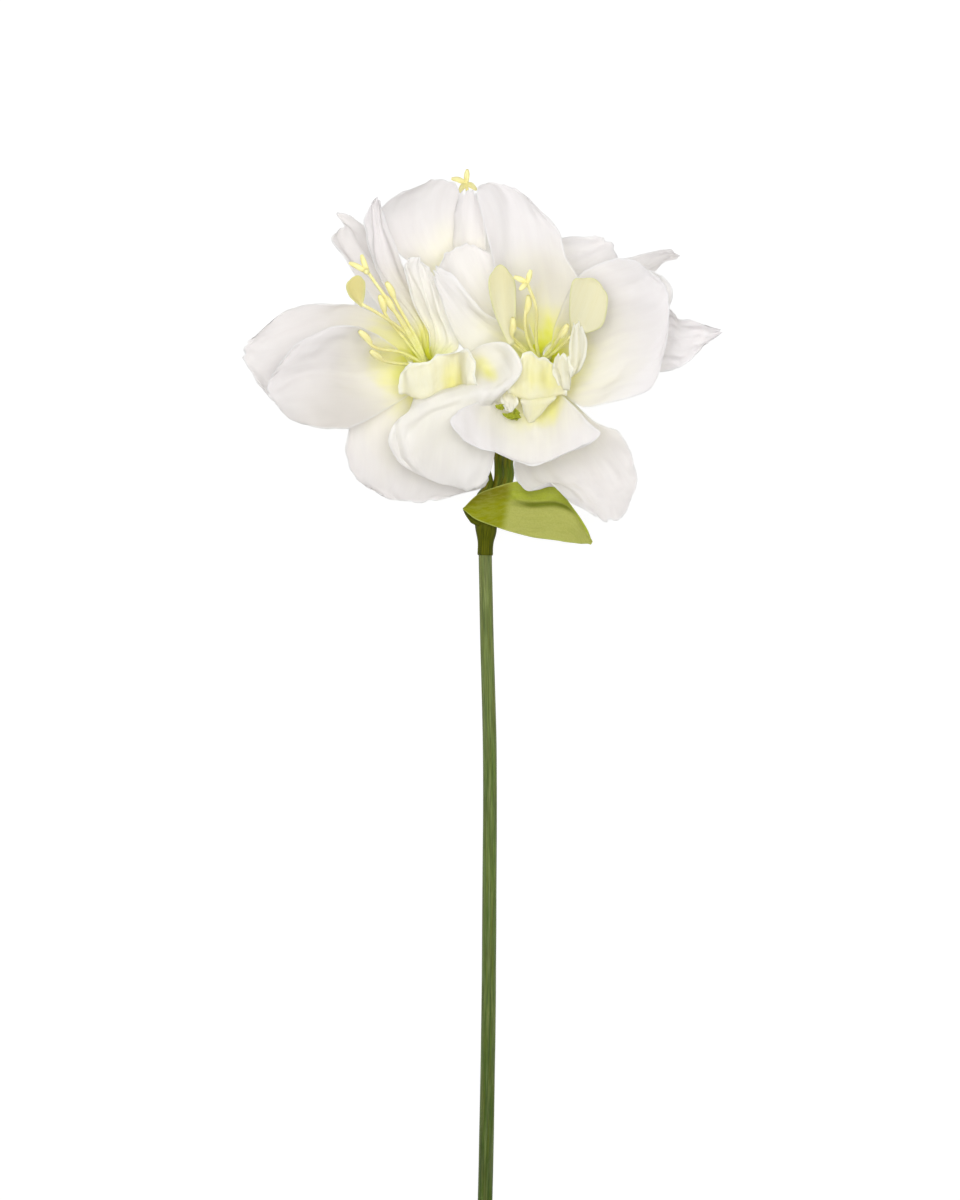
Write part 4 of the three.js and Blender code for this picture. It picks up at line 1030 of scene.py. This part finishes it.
rightFrills = {
    "wall": {
        "columns": 96, "nick": 0.03, "nicks": 5, "tint": 0.68, "creamAndShadeSpots": [(26, 53, 6, 0.2)],
        "net": [
            [(15, 55, 14), (17, 53, 12), (20, 51, 10.5), (24, 50, 10), (28, 51, 10.5), (31, 53, 12),
             (33, 55, 14)],
            [(10, 48, 28), (15, 45.5, 30), (19, 44.5, 31), (23, 44.5, 30), (27, 45, 31.5), (31, 46.5, 32),
             (35.5, 48, 31)],
            [(10.5, 54, 30), (15, 53, 32.5), (19, 52.5, 31.3), (22.7, 52.5, 33.3), (27, 53, 31.3),
             (31, 54, 31), (36.5, 54, 32)],
            [(12, 60, 31), (16, 60, 33.3), (19.5, 60, 32.2), (22.7, 59.5, 33.8), (26.5, 59.5, 32),
             (30, 59, 31.3), (35, 58, 32.5)],
            [(14, 65, 30), (17, 66.6, 32.5), (20, 67, 33.5), (22.3, 64.8, 34), (25, 64, 33),
             (28, 62, 31.5), (33, 60.5, 32.5)],
        ],
    },
    "wing": {
        "columns": 40,
        "net": [
            [(33, 58, 14), (35, 57, 13), (37, 58, 14)],
            [(33, 50, 30), (35, 49.5, 32.5), (37, 50, 30)],
            [(31, 56, 31.5), (34, 55.5, 34.5), (37.5, 56, 31.5)],
            [(29.3, 60.5, 32), (33, 61, 35.5), (38, 61.5, 32)],
            [(29.8, 63.5, 31), (33.5, 66.5, 34), (38.2, 66, 31)],
        ],
    },
    "curl": {
        "columns": 36, "crumple": 0.1, "frill": 0.4,
        "net": [
            [(35.5, 58, 17), (37, 57, 16), (38.5, 58, 17)],
            [(35.5, 56, 28), (38, 55, 30), (40, 57, 28)],
            [(37, 62, 31), (40, 60.5, 34), (42.8, 62, 31)],
            [(36.8, 69, 32), (40.3, 69, 36), (44.2, 69, 32)],
            [(37.6, 76, 33), (40.3, 76.5, 36), (43.2, 75, 33)],
            [(38.6, 78.5, 33), (40.3, 80, 34), (42, 78, 33)],
        ],
    },
}
rightBloom = {
    "centre": (24, 60, 2), "axis": (-0.02, 0.36, 0.93), "foot": 30,
    "stalk": [(7.6, 5, 2), (9.9, 11, 2), (9.6, 18, 0), (12, 28, -3), (18, 42, -9)],
    "petals": rightPetals, "frills": rightFrills,
    "style": [(22, 72, 22), (22, 85, 40), (18, 96, 50)],
    "lobes": [(12, 99, 51), (19.5, 102, 51), (14.5, 93, 53)],
    "stamens": [
        [(19, 70, 21), (17, 80, 34), (18.5, 91, 40)],
        [(15, 69, 22), (11, 74, 33), (11.5, 81, 38)],
        [(29, 68, 20), (32, 72, 32), (36, 78, 38)],
    ],
    "paddles": [
        {
            "paintedLight": 0.5, "thread": [(17, 66, 18), (11, 70, 29)],
            "net": [
                [(9.6, 69, 29), (10.8, 68.8, 29), (12, 69.4, 29)],
                [(3, 84, 34.5), (8, 83, 33), (13, 83, 35)],
                [(0.5, 96, 37.5), (6, 96.5, 35.5), (12.8, 95.5, 36.5)],
                [(2, 103.2, 38), (6, 105, 37), (10.6, 102.6, 37.5)],
            ],
        },
        {
            "paintedLight": 0.75, "thread": [(31, 67, 18), (37.5, 73, 30)],
            "net": [
                [(37.4, 74, 30), (38.4, 73.6, 30), (39.4, 73.2, 30)],
                [(36.6, 86, 39), (42.5, 82.5, 36), (51, 77, 36.5)],
                [(38, 97, 44), (46, 92, 40), (54, 88, 40)],
                [(43, 99.5, 44), (48, 98.5, 42), (53, 95, 42)],
            ],
        },
    ],
    "shadeScrap": [
        [
            [(6.8, 38.7, 33.8), (7, 38.1, 33.8), (7.2, 37.5, 33.6)],
            [(9.5, 38.8, 33), (9.5, 37.4, 32.6), (9.5, 36.1, 32.2)],
            [(12.4, 41, 32.4), (12.4, 38, 31.6), (12.4, 35.8, 31)],
            [(15.2, 39.5, 31.4), (15.2, 37.6, 31), (15.4, 35.8, 30.6)],
        ],
        [
            [(3.6, 42.2, 34.8), (3.8, 41.5, 34.6), (4, 40.9, 34.6)],
            [(5.8, 42.9, 34.4), (5.9, 41.4, 34), (6, 40, 33.8)],
            [(8.2, 43.2, 33.8), (8.3, 42.2, 33.6), (8.5, 41.2, 33.4)],
        ],
    ],
}
backPetals = {
    "upperLeft": {
        "nick": 0.03, "round": 0.12, "paintedLight": -0.1, "creamAndShadeSpots": [(-18, 119, 7, 0.3), (-22, 107, 8, 0.25)],
        "net": [
            [(-17, 96, -9), (-10, 95, -10), (-4, 95, -11)],
            [(-38, 109, -1), (-22, 111, 2), (-10, 110, -1)],
            [(-49.5, 125, -2), (-29, 126, 3.5), (-12, 126, 2)],
            [(-45.5, 134, -7), (-28, 139, 0), (-12, 138, 0)],
            [(-38, 139.5, -10), (-24, 145, -4), (-13, 142.5, -3)],
        ],
    },
    "column": {
        "columns": 24,
        "net": [
            [(-6, 97, -7), (-3, 97, -8), (0, 97, -9)],
            [(-15, 112, 4), (-8, 112, 7.5), (0, 112, 6)],
            [(-15, 127, 5), (-8, 127, 8.5), (-1, 127, 7)],
            [(-14.5, 140, 2), (-8, 141.5, 6), (-1, 140.5, 4)],
        ],
    },
    "upperRight": {
        "paintedLight": 0.2, "crumple": 0.5, "from": 0.35, "round": 0.12, "nick": 0.02,
        "net": [
            [(3, 95, -17), (8, 91, -17), (11, 87, -19)],
            [(18, 111, -13), (25, 100.5, -13), (30, 89, -18)],
            [(34, 119, -13), (43, 105.5, -12), (49, 93, -18)],
            [(51, 121, -14), (59.2, 114.8, -13), (61.5, 104, -17)],
        ],
    },
    "right": {
        "paintedLight": -0.15, "crumple": 0.9, "from": 0.5, "round": 0.1, "nick": 0.02, "frill": 0.9,
        "net": [
            [(7, 90, -19), (9, 86, -20), (10, 82, -21)],
            [(38, 106, -26), (39, 98, -24), (40, 90, -27)],
            [(64, 110, -23), (66, 104, -22), (66, 98, -25)],
            [(81.5, 114, -20), (80.8, 111, -18), (79.5, 108, -21)],
            [(88, 111.6, -19), (87.6, 110.8, -18), (86.4, 109.6, -20)],
        ],
    },
    "backLeft": {
        "paintedLight": 1.0,
        "net": [
            [(-14, 91, -24), (-17, 87, -24), (-17, 82, -26)],
            [(-34, 105, -41), (-38, 92, -40), (-36, 79, -42)],
            [(-50, 106, -47), (-56, 92, -48), (-53, 77, -48)],
            [(-57, 101, -46), (-61.5, 90, -50), (-59, 80, -47)],
        ],
    },
    "backRight": {
        "paintedLight": 1.0,
        "net": [
            [(6, 82, -25), (7, 79, -27), (6, 76, -28)],
            [(28, 92, -41), (32, 80, -42), (28, 68, -42)],
            [(46, 90, -47), (52, 78, -49), (47, 66, -48)],
            [(57, 84, -46), (61, 76, -50), (57, 68, -47)],
        ],
    },
    "back": {
        "paintedLight": 1.0,
        "net": [
            [(-12, 87, -30), (-6, 86, -31), (0, 85, -31)],
            [(-22, 104, -46), (-5, 106, -47), (12, 103, -46)],
            [(-21, 122, -50), (-4, 125, -53), (14, 121, -50)],
            [(-10, 133, -47), (-2, 136, -49), (7, 132, -47)],
        ],
    },
}
backFrills = {
    "fan": {
        "net": [
            [(-14, 93, -22), (-9, 94, -20), (-4, 94, -19), (2, 94, -20), (7, 92, -23)],
            [(-16, 103, -22), (-10, 106, -19), (-4, 107, -18), (3, 106, -20), (9, 102, -23)],
        ],
    },
}
backBloom = {
    "centre": (-5, 78, -16), "axis": (-0.05, 0.8, -0.55), "foot": 270,
    "stalk": [(4.6, 7, -1.5), (5.6, 14, -2.5), (4.4, 26, -7), (-1, 50, -9)],
    "petals": backPetals, "frills": backFrills,
    "style": [(-6, 100, -25), (-7, 123, -22), (-9.3, 143.5, -16)],
    "lobes": [(-16, 145.8, -15), (-8.9, 149.8, -14), (-4.9, 140.7, -12), (-12.6, 139.6, -13)],
    "stamens": [
        [(-11, 96, -28), (-15, 108, -34), (-16, 118, -36)],
        [(0, 96, -28), (5, 110, -33), (8, 119, -34)],
        [(-4, 95, -31), (-4, 106, -39), (-5, 113, -42)],
    ],
    "paddles": [],
}
blooms = {"left": leftBloom, "right": rightBloom, "back": backBloom}


def fullNet(bloom, rows):  # two rows that lead out of the bloom's cup, then the petal's own
    rows = np.array(rows, float)
    centre, axis = point(bloom["centre"]), unit(point(bloom["axis"]))
    middle = (rows.shape[1] - 1) / 2
    away = rows[0][int(middle)] - centre
    outward = unit(away - axis * (away @ axis))
    over = np.cross(outward, axis)
    over *= 1 if (rows[0][-1] - rows[0][0]) @ over >= 0 else -1
    spread = (np.arange(rows.shape[1]) / middle - 1)[:, None] * over / 2
    foot = centre - axis * throat["sunk"] + outward * throat["ring"] + spread * throat["footWidth"]
    neck = centre + axis * throat["neck"] + outward * throat["neckRing"] + spread * throat["neckWidth"]
    return np.concatenate([[foot], [neck], rows])


def makeBloomPiece(side, label, parts, finish, solid="bloom"):
    centre = blooms[side]["centre"]
    makePiece(f"{side}_{label}", joinParts(parts), finishes[finish], [f"{solid}_{side}"], centre)


def makeSheets(side, bloom, kind, baseLook):
    parts = []
    for seed, sheet in enumerate(bloom[kind + "s"].values()):
        look = {**baseLook, "seed": seed + 7 * len(side), **sheet}
        parts.append(sheetParts(fullNet(bloom, sheet["net"]), look))
    makeBloomPiece(side, kind + "s", parts, kind)


# A thread thins from its foot by "thinning"; a tip swells from its "ends" by "swell".
stamen = {
    "foot": 2, "rise": 5.7, "thread": 0.85, "thinning": 0.1,
    "anther": 9, "antherBend": 0.7, "antherEnds": 0.4, "antherSwell": 1.2,
    "lobeSag": 0.8, "lobeEnds": 0.45, "lobeSwell": 0.85, "paddleSeed": 3,
}


def antherRadius(s):
    return stamen["antherEnds"] + stamen["antherSwell"] * math.sin(math.pi * (0.08 + 0.84 * s)) ** 0.7


def lobeRadius(s):
    return stamen["lobeEnds"] + stamen["lobeSwell"] * math.sin(math.pi * (0.1 + 0.82 * s))


def threadRadius(s):
    return stamen["thread"] - stamen["thinning"] * s


def makeStamens(side, bloom):
    axis, centre = unit(point(bloom["axis"])), point(bloom["centre"])
    foot, rise = centre + axis * stamen["foot"], centre + axis * stamen["rise"]
    threads, tips = [], []
    for path in [*bloom["stamens"], *[paddle["thread"] for paddle in bloom["paddles"]], bloom["style"]]:
        threads.append(rodParts([foot, rise, *[point(p) for p in path]], threadRadius, sides=12, steps=32))
    for path in bloom["stamens"]:
        tip, before = point(path[-1]), point(path[-2])
        back = tip + unit(before - tip) * stamen["anther"]
        bend = (tip + back) / 2 + np.cross(unit(tip - back), axis) * stamen["antherBend"]
        tips.append(rodParts([back, bend, tip], antherRadius, sides=14, steps=18))
    end = point(bloom["style"][-1])
    for lobe in bloom["lobes"]:
        sag = (end + point(lobe)) / 2 + axis * stamen["lobeSag"]
        tips.append(rodParts([end, sag, point(lobe)], lobeRadius, sides=12, steps=12))
    makeBloomPiece(side, "filaments", threads, "stamen", "stamens")
    makeBloomPiece(side, "anthers", tips, "stamen", "stamens")
    if bloom["paddles"]:
        blades = []
        for seed, paddle in enumerate(bloom["paddles"]):
            look = {**paddleLook, "seed": seed + stamen["paddleSeed"], "paintedLight": paddle["paintedLight"]}
            blades.append(sheetParts(paddle["net"], look))
        makeBloomPiece(side, "paddles", blades, "paddle", "stamens")


cup = {"depth": 7, "waist": 3.5, "top": 0.1, "radius": 3.6, "widening": 2.4}


def makeCup(side, bloom):
    axis, centre = unit(point(bloom["axis"])), point(bloom["centre"])
    path = [centre - axis * cup[label] for label in ("depth", "waist", "top")]

    def radius(s):
        return cup["radius"] + cup["widening"] * smoothStep(0, 1, s)

    makeBloomPiece(side, "cup", [rodParts(path, radius, sides=32, steps=12)], "frill")


bract = {
    "look": {
        **petalLook, "rows": 90, "columns": 44, "seed": 5, "thickness": 0.6, "round": 0.15, "nick": 0.02,
        "waves": 2.5, "ruffle": 0.4, "frill": 0.25, "soft": 0.6, "crumple": 0.12, "rib": -0.2, "vein": 0.1,
        "curl": 0.0,
    },
    "creases": [
        (1.2, 1.1, [(10.6, 0.2), (16.4, -2.2), (20, -2.9), (24, -1.9), (30, -1.3), (36, -3.4)]),
        (0.8, 1.0, [(12.5, 6), (11, 1), (14, -2.5)]),
        (-0.6, 1.6, [(17, -5.6), (24, -4.2), (30, -4), (36, -7)]),
    ],
    "net": [
        [(-10.6, -3.5, 5), (-10.8, -3.7, 5), (-10.9, -3.9, 5), (-10.8, -4.1, 5), (-10.6, -4.3, 5)],
        [(-5, 2, 6.4), (-5.3, -1.2, 6), (-5.5, -4, 5.7), (-5.4, -6.5, 6), (-5.4, -8.4, 6.4)],
        [(1.4, 5.1, 6.8), (1.6, 0.6, 6.3), (1.8, -3.4, 6), (1.4, -7.4, 6.6), (0.6, -11, 6.8)],
        [(13, 8.4, 8.2), (12, 2.6, 7), (11, -1.4, 6.2), (10, -8.4, 7.2), (9, -13.8, 8)],
        [(23, 7.8, 8), (22.5, 2.5, 6.8), (22, -2, 5.6), (21.5, -9.5, 7.4), (21, -17, 8)],
        [(32, 5.2, 8), (32, 1.6, 6.8), (32, -2, 5.6), (32, -10.5, 7.6), (32, -18.6, 8.5)],
        [(38, -1.6, 7.8), (38.3, -3.4, 6.6), (38.6, -5.2, 5.8), (39, -12.5, 7.5), (39.5, -19.4, 8.3)],
        [(43.2, -9.6, 7.2), (43.6, -11, 6.8), (43.8, -13, 6.6), (44, -16.5, 7.3), (44.2, -20, 8)],
        [(46.9, -18, 7), (47.5, -18.8, 7), (47.8, -19.4, 7), (47.6, -20, 7), (47.2, -20.6, 7)],
    ],
    "underside": [
        [(-10.6, -4, 4.8), (-10.7, -4.3, 4.4), (-10.6, -4.6, 4.2)],
        [(-8, -5.4, 5), (-9, -6.6, 4.4), (-9.4, -7.4, 4)],
        [(-5, -7.6, 5), (-6, -9.2, 4.4), (-6.9, -10.4, 4)],
        [(-1.5, -9.4, 5), (-2.8, -11, 4.4), (-4, -12, 4)],
    ],
    "undersideRows": 24, "undersideColumns": 16,
}


def makeBract():
    leaf = sheetParts(bract["net"], {**bract["look"], "creases": bract["creases"]})
    makePiece("leafy_bract", leaf, finishes["bract"], ["bract"])
    # the folded-under tip takes the dark collar finish, which paints the shade under the fold
    underLook = {**bract["look"], "rows": bract["undersideRows"], "columns": bract["undersideColumns"]}
    underside = sheetParts(bract["underside"], underLook)
    makePiece("bract_underside", underside, finishes["collar"], ["bract"])


makeStem()
makeCollar()
makeBract()
print("stem, collar and bract made")
for side, bloom in blooms.items():
    makeStalk(side, bloom)
    makeCup(side, bloom)
    makeSheets(side, bloom, "petal", petalLook)
    makeSheets(side, bloom, "frill", frillLook)
    makeStamens(side, bloom)
    # dark scraps in front of the petals paint the shade seen in gaps between them
    if "shadeScrap" in bloom:
        makeBloomPiece(side, "shadeScrap", [sheetParts(net, shadeScrapLook) for net in bloom["shadeScrap"]], "shadeScrap")
    print(side, "bloom made")

studio = {
    "floorSize": 8.0, "floor": (252, 252, 252), "floorCloud": (246, 246, 246), "cloudShare": 0.02,
    "cloudScale": 3.0, "floorFinish": {"roughness": 0.9, "specular": 0.1}, "floorGlow": 0.9,
    "floorDiffuse": 0.2, "worldStrength": 0.34, "litSpot": (0, 0.16, 0),
    "key": {"power": 11.6, "size": 0.9, "spot": (-0.08, 0.02, 2.4)},
    "fill": {"power": 3.5, "size": 1.2, "spot": (0.1, 0.9, 2.2)},
    "near": {"power": 1.5, "size": 0.34, "spot": (-0.01, 0.15, 0.52)},
    "view": (-3.15, -45.0, 10.0), "distance": 4000.0, "seenHeight": 540.0, "filmWidth": 36.0,
}
white = (1.0, 1.0, 1.0, 1.0)


def makeFloor():
    half = studio["floorSize"] / 2
    mesh = bpy.data.meshes.new("floor")
    corners = [(-half, -half, 0), (half, -half, 0), (half, half, 0), (-half, half, 0)]
    mesh.from_pydata(corners, [], [(0, 1, 2, 3)])
    floor = bpy.data.objects.new("floor", mesh)
    material, tree, surface = newMaterial("paleFloor", studio["floorFinish"])
    cloud = noiseAt(tree, None, studio["cloudScale"], detail=2.0)
    tint = addShade(tree, colour(*studio["floor"]), cloud, studio["cloudShare"], studio["floorCloud"])
    tint = blendColours(tree, 1.0, tint, (studio["floorDiffuse"],) * 3 + (1.0,), "MULTIPLY")
    tree.links.new(tint, surface.inputs["Base Color"])
    surface.inputs["Emission Color"].default_value = white
    surface.inputs["Emission Strength"].default_value = studio["floorGlow"]
    mesh.materials.append(material)
    bpy.context.scene.collection.objects.link(floor)


def makeLight(name):
    lamp = bpy.data.lights.new(name, "AREA")
    lamp.energy = studio[name]["power"]
    lamp.size = studio[name]["size"]
    light = bpy.data.objects.new(name, lamp)
    spot = Vector(studio[name]["spot"])
    light.location = spot
    light.rotation_mode = "QUATERNION"
    light.rotation_quaternion = (Vector(studio["litSpot"]) - spot).to_track_quat("-Z", "Y")
    light.visible_camera = False
    bpy.context.scene.collection.objects.link(light)


def makeCamera():
    lens = bpy.data.cameras.new("camera")
    lens.sensor_width = studio["filmWidth"]
    lens.lens = studio["filmWidth"] * studio["distance"] / studio["seenHeight"]
    camera = bpy.data.objects.new("camera", lens)
    spot = Vector(studio["view"]) + Vector((0, 0, studio["distance"]))
    placed = leanTurn.to_4x4()
    placed.translation = Vector(shift) + leanTurn.to_3x3() @ (spot * pose["millimetre"])
    camera.matrix_world = placed
    bpy.context.scene.collection.objects.link(camera)
    bpy.context.scene.camera = camera


def makeStudio():
    world = bpy.data.worlds.new("studio")
    world.use_nodes = True
    background = world.node_tree.nodes["Background"]
    background.inputs["Color"].default_value = white
    background.inputs["Strength"].default_value = studio["worldStrength"]
    bpy.context.scene.world = world
    bpy.context.scene.view_settings.view_transform = "Standard"
    makeFloor()
    for name in ("key", "fill", "near"):
        makeLight(name)
    makeCamera()


makeStudio()
print("studio made")
